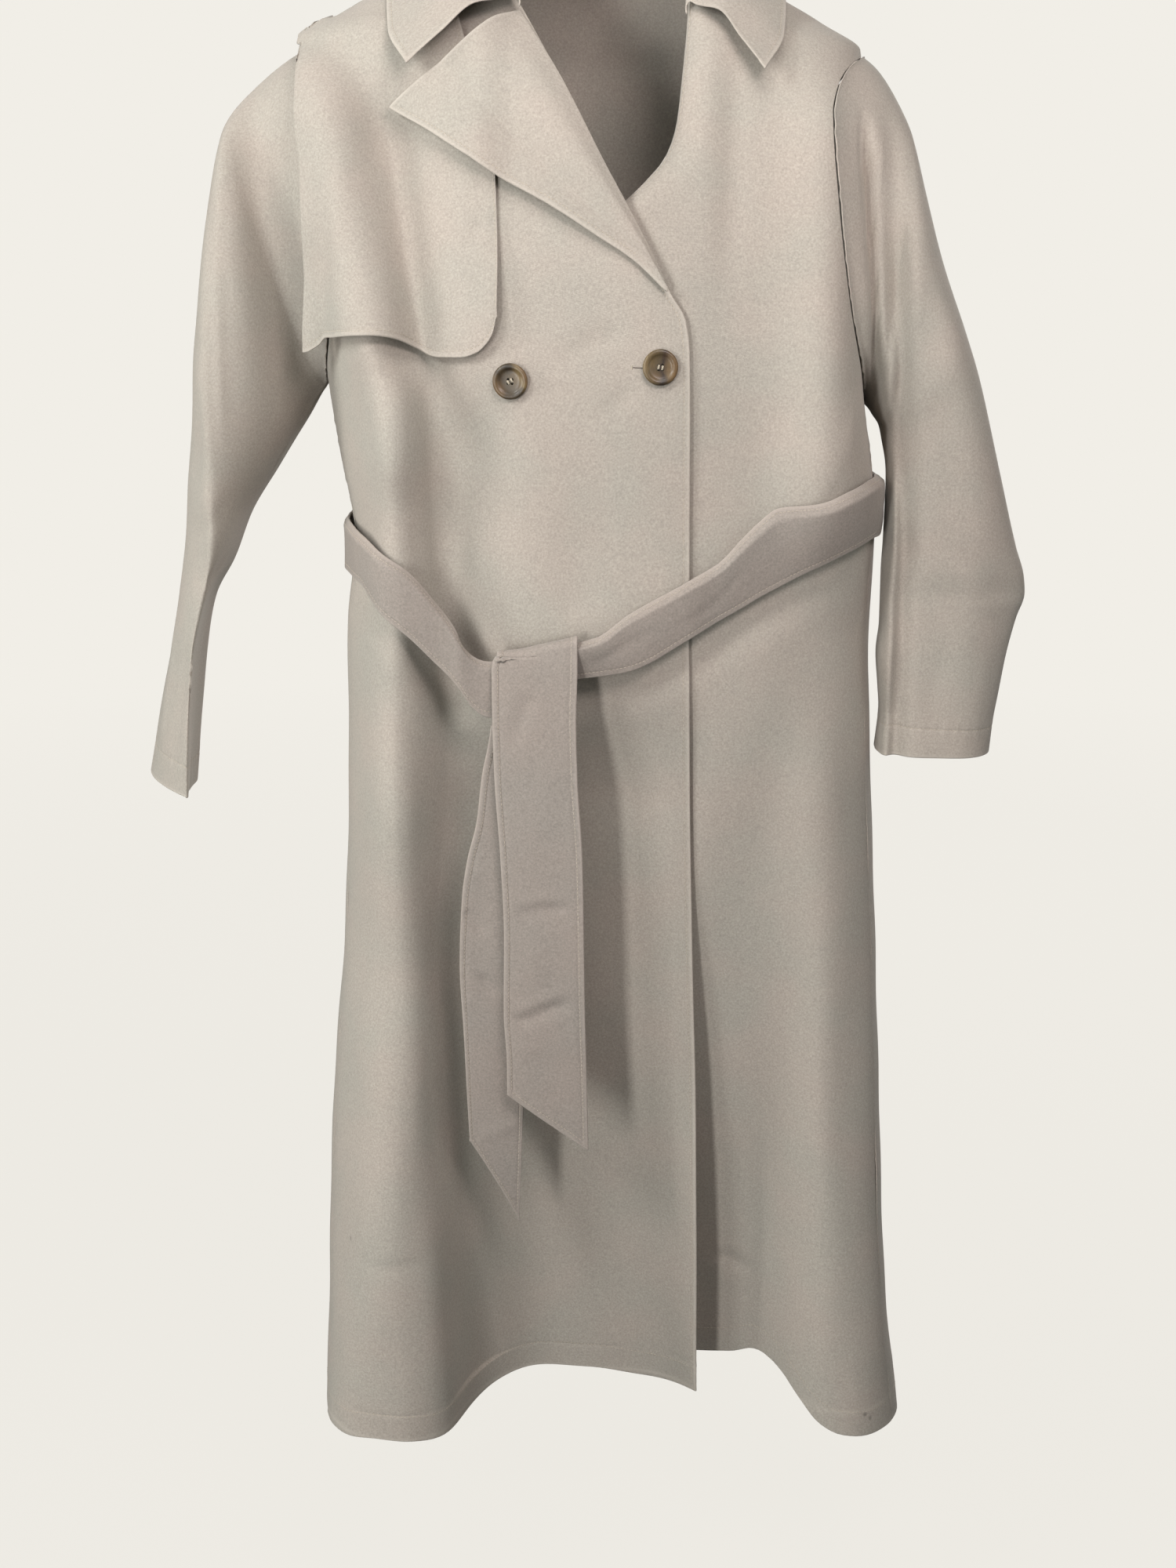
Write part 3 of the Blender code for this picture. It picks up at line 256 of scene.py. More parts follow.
def front_panel(side, us, zs, gap=GAP):
    """Grid of one front: rows from the shoulder seam down to the hem, columns from side to edge."""
    left = side == "left"
    edge = EDGE_TOP if left else EDGE_UNDER
    folds = FOLDS_TOP_FRONT if left else FOLDS_UNDER_FRONT
    fine = np.linspace(0, 1, 161)
    rows = []
    for z_side in zs:
        z_edge = slope(side, z_side)
        a = side_phi(z_side, side, "front") + gap / 0.11
        p_side = a if left else pi - a
        p_edge = phi_front(column(edge, "z", "x", z_edge), z_edge)
        zz = z_side + (z_edge - z_side) * fine
        ph = p_side + (p_edge - p_side) * fine
        clear = np.where(z_side > zs[0] - 1e-6, SHOULDER_GAP / -form("yf", zz), gap / 0.11)
        pts = body(np.clip(ph, clear, pi - clear), zz, folds)
        x = pts[:, 0]
        if left:
            pts[:, 1] -= lap(x, zz)
        else:
            # under the lap the cloth follows the top front from behind
            room = np.maximum(smooth(-0.52, -0.62, zz), smooth(-0.28, -0.36, zz) * (1 - smooth(-0.03, 0.03, x)))
            d = top_front_y(x, zz) + 0.003 + 0.0045 * room - pts[:, 1]
            k = 0.006
            h = np.clip(0.5 + 0.5 * d / k, 0, 1)
            x_top = column(EDGE_TOP, "z", "x", zz)
            inside = 1 - smooth(x_top - 0.002, x_top + 0.030, x)
            pts[:, 1] += (d * h + k * h * (1 - h)) * inside
            # soft roll inwards along the neck edge
            step = np.linalg.norm(np.diff(pts, axis=0), axis=1)
            away = np.concatenate([np.cumsum(step[::-1])[::-1], [0]])
            r = float(NECK_ROLL * smooth(-0.225, -0.175, z_edge) * smooth(0.015, 0.08, -z_edge))
            if r > 1e-4:
                d = np.clip(1 - away / (r * 1.6), 0, 1)
                pts[:, 1] += r * (1 - np.sqrt(1 - 0.96 * d * d))
        lift = column(LIFT_TOP if left else LIFT_UNDER, "x", "lift", x)
        pts[:, 2] += lift * smooth(0.80, -HEM, -zz)
        rows.append(even(pts, us))
    return np.array(rows)


def back_panel(us, z_left, z_right, gap=GAP):
    """Grid of the back: rows from the shoulder seams and back neck down to the hem."""
    fine = np.linspace(0, 1, 241)
    neck = 0.30
    f = np.clip((fine - neck) / (1 - 2 * neck), 0, 1)
    z_top = np.where(fine < 0.5, z_left[0] * (1 - np.clip(fine / neck, 0, 1)),
                     z_right[0] * (1 - np.clip((1 - fine) / neck, 0, 1))) - NECK_DROP * np.sin(pi * f) ** 0.8
    low_l, low_r = ARM_L["z"][-1] * MM, ARM_R["z"][-1] * MM
    z_low = low_l + (low_r - low_l) * fine
    rows = []
    for zl, zr in zip(z_left, z_right):
        t = np.clip((z_left[0] - zl) / (z_left[0] - low_l), 0, 1)
        a = side_phi(zl, "left", "back") + gap / 0.11
        b = side_phi(zr, "right", "back") + gap / 0.11
        beta = smooth(0.0, 0.22, t)
        ph = -(a + (pi - a - b) * ((1 - beta) * f + beta * fine))
        zz = z_top + (z_low - z_top) * t if t < 1 else zl + (zr - zl) * fine
        if t < 1:
            clear = SHOULDER_GAP / form("yb", zz) if t < 1e-6 else gap / 0.11
            ph = np.clip(ph, -pi + clear, -clear)
        # past the side seams it follows the folds of the fronts
        pts = np.where(np.cos(ph)[:, None] > 0, body(ph, zz, FOLDS_TOP_FRONT), body(ph, zz, FOLDS_UNDER_FRONT))
        # its hem meets the hems of the fronts at the side seams
        side = np.where(np.cos(ph) > 0, column(LIFT_TOP, "x", "lift", pts[:, 0]), column(LIFT_UNDER, "x", "lift", pts[:, 0]))
        pts[:, 2] += side * (1 - smooth(0.25, 1.1, np.minimum(-ph, pi + ph))) * smooth(0.80, -HEM, -zz)
        rows.append(even(pts, us))
    return np.array(rows)


# ---------------------------------------------------------------- sleeves (mm)
# A row for each ring: how far along the sleeve, its outer and inner points, how far it
# reaches to front and back of the line between them, the sideways lean of the front and
# back, and how square it is.
SLEEVE = "s    xo    zo    yo   xi    zi    yi   front back leanf leanb  n"
SLEEVE_LEFT = table(SLEEVE,
    (0,   -224,  -80,   0, -211, -328,   0,  -56,  60,   0,   0, 2.0),
    (30,  -250,  -95,   0, -212, -331,   0,  -66,  64,   0,   0, 2.0),
    (60,  -272, -115,   0, -214, -334,   0,  -74,  67,  -7,   0, 2.0),
    (90,  -286, -137,   0, -217, -338,   0,  -80,  69,  -9,   0, 2.1),
    (135, -296, -180,   0, -222, -345,   0,  -84,  70, -11,   0, 2.1),
    (195, -306, -239,   0, -232, -361,   0,  -84,  69, -12,   0, 2.1),
    (248, -313, -291,   0, -244, -379,   0,  -82,  66, -10,   0, 2.1),
    (302, -320, -344,   0, -259, -402,   0,  -78,  64,  -4,   0, 2.0),
    (360, -329, -401,   0, -281, -436,   0,  -72,  61,   8,   0, 1.8),
    (425, -339, -465,   8, -300, -478,   4,  -70,  60,  15,  -4, 1.65),
    (468, -347, -506,  14, -317, -508,   8,  -71,  60,  17,  -8, 1.6),
    (500, -354, -535,  20, -325, -536,  10,  -75,  58,  17, -10, 1.55),
    (530, -361, -563,  25, -330, -564,  11,  -78,  56,  19, -10, 1.5),
    (562, -369, -593,  29, -334, -598,  11,  -80,  54,  21, -10, 1.5),
    (590, -376, -620,  31, -338, -630,  11,  -82,  53,  24, -10, 1.5),
    (632, -386, -663,  33, -343, -672,  11,  -82,  52,  28, -10, 1.6),
)
SLEEVE_RIGHT = table(SLEEVE,
    (0,    214,  -84,   0,  223, -343,   0,  -56,  60,   0,   0, 2.0),
    (30,   236,  -99,  -2,  224, -345,  -2,  -64,  60,   0,   0, 2.1),
    (60,   249, -128,  -5,  226, -348,  -5,  -71,  58,   0,   0, 2.2),
    (115,  264, -182, -10,  229, -352, -10,  -78,  56,   0,   0, 2.3),
    (175,  281, -242, -14,  233, -358, -18,  -74,  54,   0,   0, 2.4),
    (225,  298, -290, -18,  237, -365, -26,  -69,  54,   0,   2, 2.5),
    (262,  311, -325, -20,  239, -376, -32,  -61,  54,   0,   4, 2.6),
    (335,  332, -396, -24,  241, -400, -42,  -50,  54,   0,   8, 2.7),
    (405,  351, -462, -26,  241, -455, -48,  -40,  54,   0,  10, 2.8),
    (430,  359, -485, -26,  240, -480, -50,  -36,  54,   0,  10, 2.8),
    (446,  361, -500, -26,  240, -500, -50,  -33,  54,   0,  10, 2.8),
    (470,  355, -520, -26,  240, -522, -50,  -33,  53,   0,  10, 2.8),
    (500,  348, -552, -26,  238, -547, -50,  -33,  52,   0,   8, 2.8),
    (532,  343.5, -584, -26,  241, -577, -48,  -34,  50,   0,   6, 2.7),
    (552,  341, -603, -26,  243, -597, -46,  -35,  48,   0,   5, 2.6),
    (585,  339, -632, -26,  241, -629, -45,  -36,  47,   0,   4, 2.6),
)
FOLDS_SLEEVE_LEFT = table(FOLD,
    (-250, -100, -170, -300, -400, -226,   27,  20,  20, 2),   # deep trough down the inner front
    (-214,  -80, -130, -280, -345, -204,  -20,  17,  14, 2),   # pulled forward to the armhole
    (-290, -110, -170, -420, -520, -306,   -4,   9,   9, 2),   # ridge down the outer front
)
FOLDS_SLEEVE_RIGHT = table(FOLD,
    (205,  -90, -150, -300, -360,  222, -15,  13,  12, 2),   # level with the body beside the armhole
    (213,  -90, -150, -420, -520,  250, -10,   8,   9, 2),   # ridge along the inner side
    (221,  -90, -150, -420, -500,  258,   8,   8,   9, 2),   # trough behind it
    (243, -400, -480, -700, -701,  245,  -6,   7,   7, 2),   # the ridge goes on to the cuff
    (252, -400, -480, -700, -701,  254,   5,   8,   9, 2),   # and so does the trough
    (290, -180, -300, -700, -701,  318,  -6,  26,  26, 2),   # fuller to the outer side
)


def armhole(psi, tab, sign):
    """The armhole line: psi 0 at the shoulder tip, pi/2 in front, pi under the arm."""
    top, low = tab["z"][0] * MM, tab["z"][-1] * MM
    z = (top + low) / 2 + (top - low) / 2 * np.cos(psi)
    front = np.sin(psi) >= 0
    x = np.where(front, column(tab, "z", "xf", z), column(tab, "z", "xb", z))
    width = form("xl" if sign < 0 else "xr", z)
    n = np.where(front, form("nf", z), form("nb", z))
    rest = np.clip(1 - (x / width) ** n, 0, 1) ** (1 / n)
    y = form("ys", z) + (np.where(front, form("yf", z), form("yb", z)) - form("ys", z)) * rest
    folds = FOLDS_TOP_FRONT if sign < 0 else FOLDS_UNDER_FRONT
    push = np.where(front, fold_push(folds, sign * x, z), fold_push(FOLDS_BACK, sign * x, z))
    y = y + push * smooth(0.0, 0.36, rest ** (n / 2))
    return np.stack([sign * x, y, z], -1)


def sleeve(side, ss, psis, clear=0.0016):
    """Grid of a sleeve: a row for each ring from the armhole to the cuff, psi round it."""
    tab, arm, sign, folds = ((SLEEVE_LEFT, ARM_L, -1, FOLDS_SLEEVE_LEFT) if side == "left"
                             else (SLEEVE_RIGHT, ARM_R, 1, FOLDS_SLEEVE_RIGHT))
    hole = armhole(psis, arm, sign)
    hole[:, 0] += sign * clear
    rows = []
    for s in ss:
        get = lambda k: column(tab, "s", k, s)
        n = through(tab["s"] * MM, tab["n"], s)
        out = np.array([get("xo"), get("yo"), get("zo")])
        inn = np.array([get("xi"), get("yi"), get("zi")])
        c, q = np.cos(psis), np.sin(psis)
        e = 2 / n
        across = np.sign(c) * np.abs(c) ** e
        depth = np.abs(q) ** e
        pts = (out + inn) / 2 + across[:, None] * (out - inn) / 2
        front = q >= 0
        pts[:, 1] += np.where(front, get("front"), get("back")) * depth
        pts[:, 0] += np.where(front, get("leanf"), get("leanb")) * depth**2
        push = fold_push(folds, pts[:, 0], pts[:, 2]) * np.where(front, smooth(0.0, 0.3, q), 0)
        pts[:, 1] += push * smooth(0.004, 0.030, s)
        w = smooth(0.0, 0.070, s)
        rows.append(hole + (pts - hole) * w)
    return np.array(rows)


# ---------------------------------------------------------------- what lies on the fronts
def outer_front_y(x, z):
    """Depth of the outermost front, the top front up to its edge and the under front past it."""
    x_edge = column(EDGE_TOP, "z", "x", z)
    k = smooth(x_edge - 0.004, x_edge + 0.022, x)
    return top_front_y(x, z) * (1 - k) + under_front_y(x, z) * k


def moved_out(x, z, lift, depth=outer_front_y):
    """Points over the front, moved out along its normal."""
    d = 0.002
    y = depth(x, z)
    fx = (depth(x + d, z) - depth(x - d, z)) / (2 * d)
    fz = (depth(x, z + d) - depth(x, z - d)) / (2 * d)
    fx, fz = np.clip(fx, -1.6, 1.6), np.clip(fz, -1.0, 1.0)
    n = np.stack([fx, -1 + 0 * fx, fz], -1)
    n /= np.linalg.norm(n, axis=-1, keepdims=True)
    return np.stack([x, y, z], -1) + n * np.asarray(lift)[..., None]


# Storm flap on the chest: its two edges, its lower edge, and the line where it reaches
# over the armhole on to the sleeve.
FLAP_LEFT = table("z x", (-60, -196), (-76, -214), (-142, -213), (-172, -210), (-240, -211), (-310, -213))
FLAP_RIGHT = table("z x", (-40, -106), (-100, -86), (-181, -68), (-270, -66.5), (-310, -67))
FLAP_LOW = table("x z", (-213, -306), (-203, -299), (-190, -294), (-174, -294), (-154, -298), (-130, -306),
                 (-108, -310), (-92, -310), (-82, -307), (-75, -301), (-70, -293), (-67, -281))
FLAP_OVER = table("z y", (-76, -16), (-90, -40), (-110, -64), (-142, -83), (-200, -86), (-250, -78), (-306, -66))


def chest_y(x, z):
    """The front, bridged over the armhole to the sleeve."""
    x0, x1, d = -0.188, -0.213, 0.002
    y0 = top_front_y(x0 + 0 * x, z)
    m0 = (top_front_y(x0 + d + 0 * x, z) - y0) / d
    y1 = column(FLAP_OVER, "z", "y", z)
    m1 = -0.9
    t = np.clip((x - x0) / (x1 - x0), 0, 1.1)
    h = x1 - x0
    bridge = ((2 * t**3 - 3 * t**2 + 1) * y0 + (t**3 - 2 * t**2 + t) * h * m0
              + (-2 * t**3 + 3 * t**2) * y1 + (t**3 - t**2) * h * m1)
    return np.where(x < x0, np.minimum(bridge, top_front_y(x, z)), top_front_y(x, z))


def flap_grid(us, vs, lift=0.004, stand=0.004):
    """Storm flap: columns from the armhole edge to the chest edge, rows from the shoulder down."""
    rows = []
    z_ridge = np.linspace(-0.078, -0.02, 60)
    for v in vs:
        x_low = -0.213 + (0.213 - 0.067) * us
        z_low = column(FLAP_LOW, "x", "z", x_low)
        # where each column meets the shoulder seam
        z_hi = -0.070 + (0.070 - 0.034) * us
        for _ in range(8):
            x_hi = column(FLAP_LEFT, "z", "x", z_hi) * (1 - us) + column(FLAP_RIGHT, "z", "x", z_hi) * us
            z_hi = through(form("xl", z_ridge), z_ridge, np.abs(x_hi) + 0.004)
        z = z_hi + (z_low - z_hi) * v
        side = column(FLAP_LEFT, "z", "x", z) * (1 - us) + column(FLAP_RIGHT, "z", "x", z) * us
        x = side + (x_low - side) * smooth(0.75, 1.0, v)
        rise = lift + stand * smooth(0.72, 1.0, v) + 0.003 * (1 - smooth(0.0, 0.3, v)) + 0.0045 * smooth(-0.125, -0.160, x)
        rows.append(moved_out(x, z, rise + 0 * x, chest_y))
    return np.array(rows)


# Lapel: the roll line is the top front's own edge; the outer edge falls from its point.
LAPEL_ROLL = table("t x z", (0, -51, -62), (300, -22, -108), (600, 12, -172), (850, 42, -227), (1000, 60, -263))
LAPEL_EDGE = table("t x z", (0, -139, -131), (130, -118, -146), (400, -68, -181), (580, -29, -202),
                   (740, 5, -223), (880, 35, -242), (1000, 61, -266))


def lapel_grid(ts, bs, lift=0.0052):
    """Rows run down the lapel, columns run from the roll line to the outer edge."""
    rows = []
    for t in ts:
        rx, rz = (column(LAPEL_ROLL, "t", k, t) for k in "xz")
        ex, ez = (column(LAPEL_EDGE, "t", k, t) for k in "xz")
        x, z = rx + (ex - rx) * bs, rz + (ez - rz) * bs
        wide = np.hypot(ex - rx, ez - rz)
        puff = 0.006 * np.sin(pi * np.clip(bs * 1.6, 0, 1)) * smooth(0, 0.06, wide)
        over_flap = 0.0065 * smooth(-0.052, -0.080, x)
        stand = 0.0045 * smooth(0.45, 1.0, bs) * smooth(0.01, 0.05, wide)
        rows.append(moved_out(x, z, lift * (0.55 + 0.45 * smooth(0, 0.2, bs)) + puff + over_flap + stand, chest_y))
    return np.array(rows)


# Collar: its base runs round the neck, its outer edge lies on the shoulders (mm).
COLLAR = table(
    "t     bx    by    bz   stand  ex    ey    ez",
    (0,    -50,  -82,  -60,   6,  -132, -112, -102),
    (90,   -57,  -60,  -38,  12,  -148,  -78,  -74),
    (180,  -66,  -30,  -14,  19,  -152,  -30,  -34),
    (250,  -77,   -4,    3,  24,  -146,    8,  -25),
    (330,  -68,   32,   -2,  27,  -124,   64,  -46),
    (420,  -36,   60,  -12,  29,   -66,  102,  -82),
    (500,    0,   67,  -16,  30,     0,  112,  -92),
    (580,   36,   60,  -12,  29,    66,  102,  -82),
    (670,   68,   32,   -2,  27,   124,   64,  -46),
    (750,   77,   -4,    3,  24,   146,    8,  -25),
    (820,   74,  -30,  -16,  19,   150,  -28,  -38),
    (910,   74,  -52,  -40,  12,   146,  -70,  -76),
    (1000,  73,  -62,  -62,   6,   130, -100, -104),
)


def collar_grid(ts, ws):
    """Columns run round the neck, rows run up the stand, over the fold and down the fall."""
    cols = []
    for t in ts:
        base = np.array([column(COLLAR, "t", k, t) for k in ("bx", "by", "bz")])
        edge = np.array([column(COLLAR, "t", k, t) for k in ("ex", "ey", "ez")])
        stand = float(column(COLLAR, "t", "stand", t))
        out = edge - base
        out[2] = 0
        out /= np.linalg.norm(out)
        up = np.array([0, 0, 1.0])
        top = base + up * stand
        pts = np.array([base, base + up * stand * 0.5 - out * 0.0005, top, top + up * 0.003 + out * 0.0035,
                        top + up * 0.0005 + out * 0.0080,
                        top + (edge - top) * 0.35 + up * 0.012 + out * 0.004,
                        top + (edge - top) * 0.7 + up * 0.008, edge])
        run = np.concatenate([[0], np.cumsum(np.linalg.norm(np.diff(pts, axis=0), axis=1))])
        run /= run[-1]
        cols.append(np.stack([through(run, pts[:, k], ws) for k in range(3)], -1))
    return np.array(cols)


# ---------------------------------------------------------------- belt
# Upper and lower edge of the sash round the waist, by the angle round the body (degrees),
# and how far each edge stands off the coat (mm).
BELT = table(
    "deg    top    low   off_top off_low",
    (-276,  -533,  -562,   13,  10),   # behind the knot, coming from the right
    (-270,  -524,  -553,   12,   9),
    (-265.5, -504, -548,   12,  10),
    (-256,  -479,  -524,   11,   9),
    (-250,  -465,  -510,   10,   7),
    (-245,  -446,  -500,   10,   6),
    (-241,  -434,  -492,   10,   6),
    (-236,  -424,  -484,   10,   6),
    (-226,  -421,  -470,  9.5,   6),
    (-215,  -411,  -458,  8.5,   6),
    (-200,  -404,  -450,    7,   6),
    (-180,  -403,  -450,  5.6, 3.8),
    (-150,  -408,  -460,    7,   7),
    (-120,  -414,  -472,    8,   8),
    (-90,   -420,  -480,    8,   8),
    (-60,   -426,  -482,    8,   8),
    (-30,   -431,  -482,    7,   7),
    (-12,   -434,  -481,    5,   6),
    (0,     -437,  -480,  6.5, 7),
    (15,    -440,  -478,    7,   7),
    (29,    -446,  -482,    7,   6),
    (44,    -464,  -508,  8.5,   7),
    (57,    -497,  -541,  8.5,   7),
    (65,   -522,  -562,   11,  10),
    (74,   -541,  -584, 11.5, 11.5),
    (83.6, -538,  -578,   11,  11),   # behind the knot, coming from the left
)


def spanned(near, plain, k=0.008):
    """The front of two surfaces, with a soft change between them."""
    h = np.clip(0.5 + 0.5 * (near - plain) / k, 0, 1)
    return near + (plain - near) * h - k * h * (1 - h)


# What the drawn sash lies on where it bridges a fold of the front.
FOLDS_SASH = table(FOLD,
    (-150, -560, -1215, -1300, -1301, -178,  -52,  48,  65, 4),   # lobe over the side
    (-152, -320,  -400,  -620,  -820, -160,  -31,  29,  84, 2),   # from the ridge across to the knot
)


def belt_grid(ts, ws, thick=0.0):
    """Columns run round the waist, rows run from the upper to the lower edge."""
    deg = BELT["deg"][0] + (BELT["deg"][-1] - BELT["deg"][0]) * ts
    cols = []
    for a in deg:
        top, low = through(BELT["deg"], BELT["top"], a) * MM, through(BELT["deg"], BELT["low"], a) * MM
        o_top, o_low = through(BELT["deg"], BELT["off_top"], a) * MM, through(BELT["deg"], BELT["off_low"], a) * MM
        z = top + (low - top) * ws
        off = o_top + (o_low - o_top) * ws + thick
        phi = np.radians(a + 360 if a < -180 else a) + 0 * z
        own = FOLDS_TOP_FRONT if np.cos(phi[0]) > 0 else FOLDS_UNDER_FRONT
        p = body(phi, z, own)
        d = 0.01
        tangent = body(phi + d, z, own) - body(phi - d, z, own)
        n = np.stack([tangent[:, 1], -tangent[:, 0], 0 * z], -1)
        n /= np.linalg.norm(n, axis=-1, keepdims=True)
        # across the front it lies on the outer front and bridges its troughs
        y_front = spanned(outer_front_y(p[:, 0], z), body(phi_front(p[:, 0], z), z, FOLDS_SASH)[:, 1] - 0.5 * lap(p[:, 0], z))
        w = (1 - smooth(0.88, 0.96, np.abs(np.cos(phi)))) * (np.sin(phi) > 0)
        p[:, 1] += (y_front - p[:, 1]) * w
        n = np.where((n[:, :1] * p[:, :1] + n[:, 1:2] * p[:, 1:2]) < 0, -n, n)
        cols.append(p + n * off[:, None])
    return np.array(cols).transpose(1, 0, 2)


# The two tails: left and right edge and depth at each level (mm).
TAIL_FRONT = table(
    "z      left  right  yl    yr",
    (-530,  -70,  -9,  -137, -140),
    (-545,  -74,  -9,  -138, -142),
    (-585,  -74, -10,  -139, -143),
    (-631,  -73,  -9,  -140, -144),
    (-700,  -69,  -5,  -141, -146),
    (-760,  -67,  -4,  -141, -146),
    (-831,  -68,  -3,  -141, -145),
    (-870,  -66,  -2,  -142, -144),
    (-960,  -66,   0,  -142, -143),
)
TAIL_REAR = table(
    "z      left  right  yl    yr",
    (-560,  -72,  -24,  -130, -130),
    (-602,  -77,  -24,  -131, -131),
    (-631,  -83,  -26,  -132, -131),
    (-670,  -88,  -30,  -132, -131),
    (-702,  -96,  -36,  -132, -131),
    (-735, -101,  -42,  -131, -131),
    (-798, -104,  -50,  -130, -131),
    (-847, -102,  -53,  -130, -130),
    (-911, -100,  -54,  -131, -129),
    (-960,  -98,  -56,  -132, -128),
    (-1030, -96,  -59,  -132, -127),
)


def tail_grid(tab, us, vs, z_top, z_left, z_right):
    """Strip of belt hanging from the knot, cut to a point at its right edge."""
    rows = []
    for v in vs:
        z = z_top + (z_left + (z_right - z_left) * us - z_top) * v
        left, right = column(tab, "z", "left", z), column(tab, "z", "right", z)
        yl, yr = column(tab, "z", "yl", z), column(tab, "z", "yr", z)
        rows.append(np.stack([left + (right - left) * us, yl + (yr - yl) * us, z], -1))
    return np.array(rows)


BUTTONS = table("x z", (-58, -328), (54, -318))


TURN_R = 0.0078       # the front tail turns back over the belt with this radius


def turned_tail(tab, us, back_drop=0.030, n_turn=6, n_down=12, z_left=-0.900, z_right=-0.949):
    """The front tail with its turn over the knot: up behind the belt, over it, then down in front."""
    top = tab["z"][0] * MM
    front = tail_grid(tab, us, np.linspace(0, 1, n_down), top, z_left, z_right)
    head = front[0]
    rise = TURN_HEAD["rise"] * MM
    rows = []
    for a in np.linspace(pi, 0, n_turn, endpoint=False):
        p = head.copy()
        p[:, 1] += TURN_R + TURN_R * -math_cos(a)
        p[:, 2] += TURN_R * 0.9 * np.sin(a) + through(TURN_HEAD["u"], rise, us) * 1.0
        rows.append(p)
    rows = rows[::1]
    low = rows[0].copy()
    low[:, 2] -= back_drop
    front[0][:, 2] += through(TURN_HEAD["u"], rise, us)
    front[1][:, 2] += through(TURN_HEAD["u"], rise, us) * 0.5
    return np.concatenate([[low], rows, front])


def math_cos(a):
    return float(np.cos(a))


# the top of the turn rises towards the right (mm, by the fraction across)
TURN_HEAD = table("u rise", (0, -9), (0.25, -8), (0.6, -3), (1, 3))

# ================================================================ the shells
def face_normals(P, ring=False):
    """Normals at the points of a grid, by the rows-down, columns-across rule."""
    Q = np.concatenate([P, P[:, :1]], 1) if ring else P
    a, b, c, d = Q[:-1, :-1], Q[1:, :-1], Q[1:, 1:], Q[:-1, 1:]
    f = np.cross(c - a, d - b)
    N = np.zeros_like(Q)
    N[:-1, :-1] += f
    N[1:, :-1] += f
    N[1:, 1:] += f
    N[:-1, 1:] += f
    if ring:
        N[:, 0] += N[:, -1]
        N = N[:, :-1]
    return N / np.maximum(np.linalg.norm(N, axis=-1, keepdims=True), 1e-12)


def runs(P, axis, ring=False):
    """Distance run along the rows (axis 0) or along the columns (axis 1) of a grid."""
    step = np.linalg.norm(np.diff(P, axis=axis), axis=-1)
    run = np.cumsum(step, axis=axis)
    first = np.zeros_like(np.take(run, [0], axis=axis))
    return np.concatenate([first, run], axis=axis)


def grid_mesh(name, verts, quads, uvs, tints, marks=None):
    """A mesh from arrays: points, four-sided faces, a UV in metres and the painted edge highlight at each point."""
    mesh = bpy.data.meshes.new(name)
    mesh.vertices.add(len(verts))
    mesh.vertices.foreach_set("co", np.ascontiguousarray(verts, np.float32).ravel())
    mesh.loops.add(quads.size)
    mesh.loops.foreach_set("vertex_index", np.ascontiguousarray(quads, np.int32).ravel())
    mesh.polygons.add(len(quads))
    mesh.polygons.foreach_set("loop_start", np.arange(0, quads.size, 4, dtype=np.int32))
    if marks is not None:
        mesh.polygons.foreach_set("material_index", np.ascontiguousarray(marks, np.int32))
    mesh.update(calc_edges=True)
    layer = mesh.uv_layers.new(name="cloth")
    layer.data.foreach_set("uv", np.ascontiguousarray(uvs[quads.ravel()], np.float32).ravel())
    # painted highlight along the cloth's edges, read by the cloth material
    edge_highlight = mesh.attributes.new("edge_highlight", "FLOAT", "POINT")
    edge_highlight.data.foreach_set("value", np.ascontiguousarray(tints, np.float32))
    mesh.shade_smooth()
    mesh.validate()
    return mesh


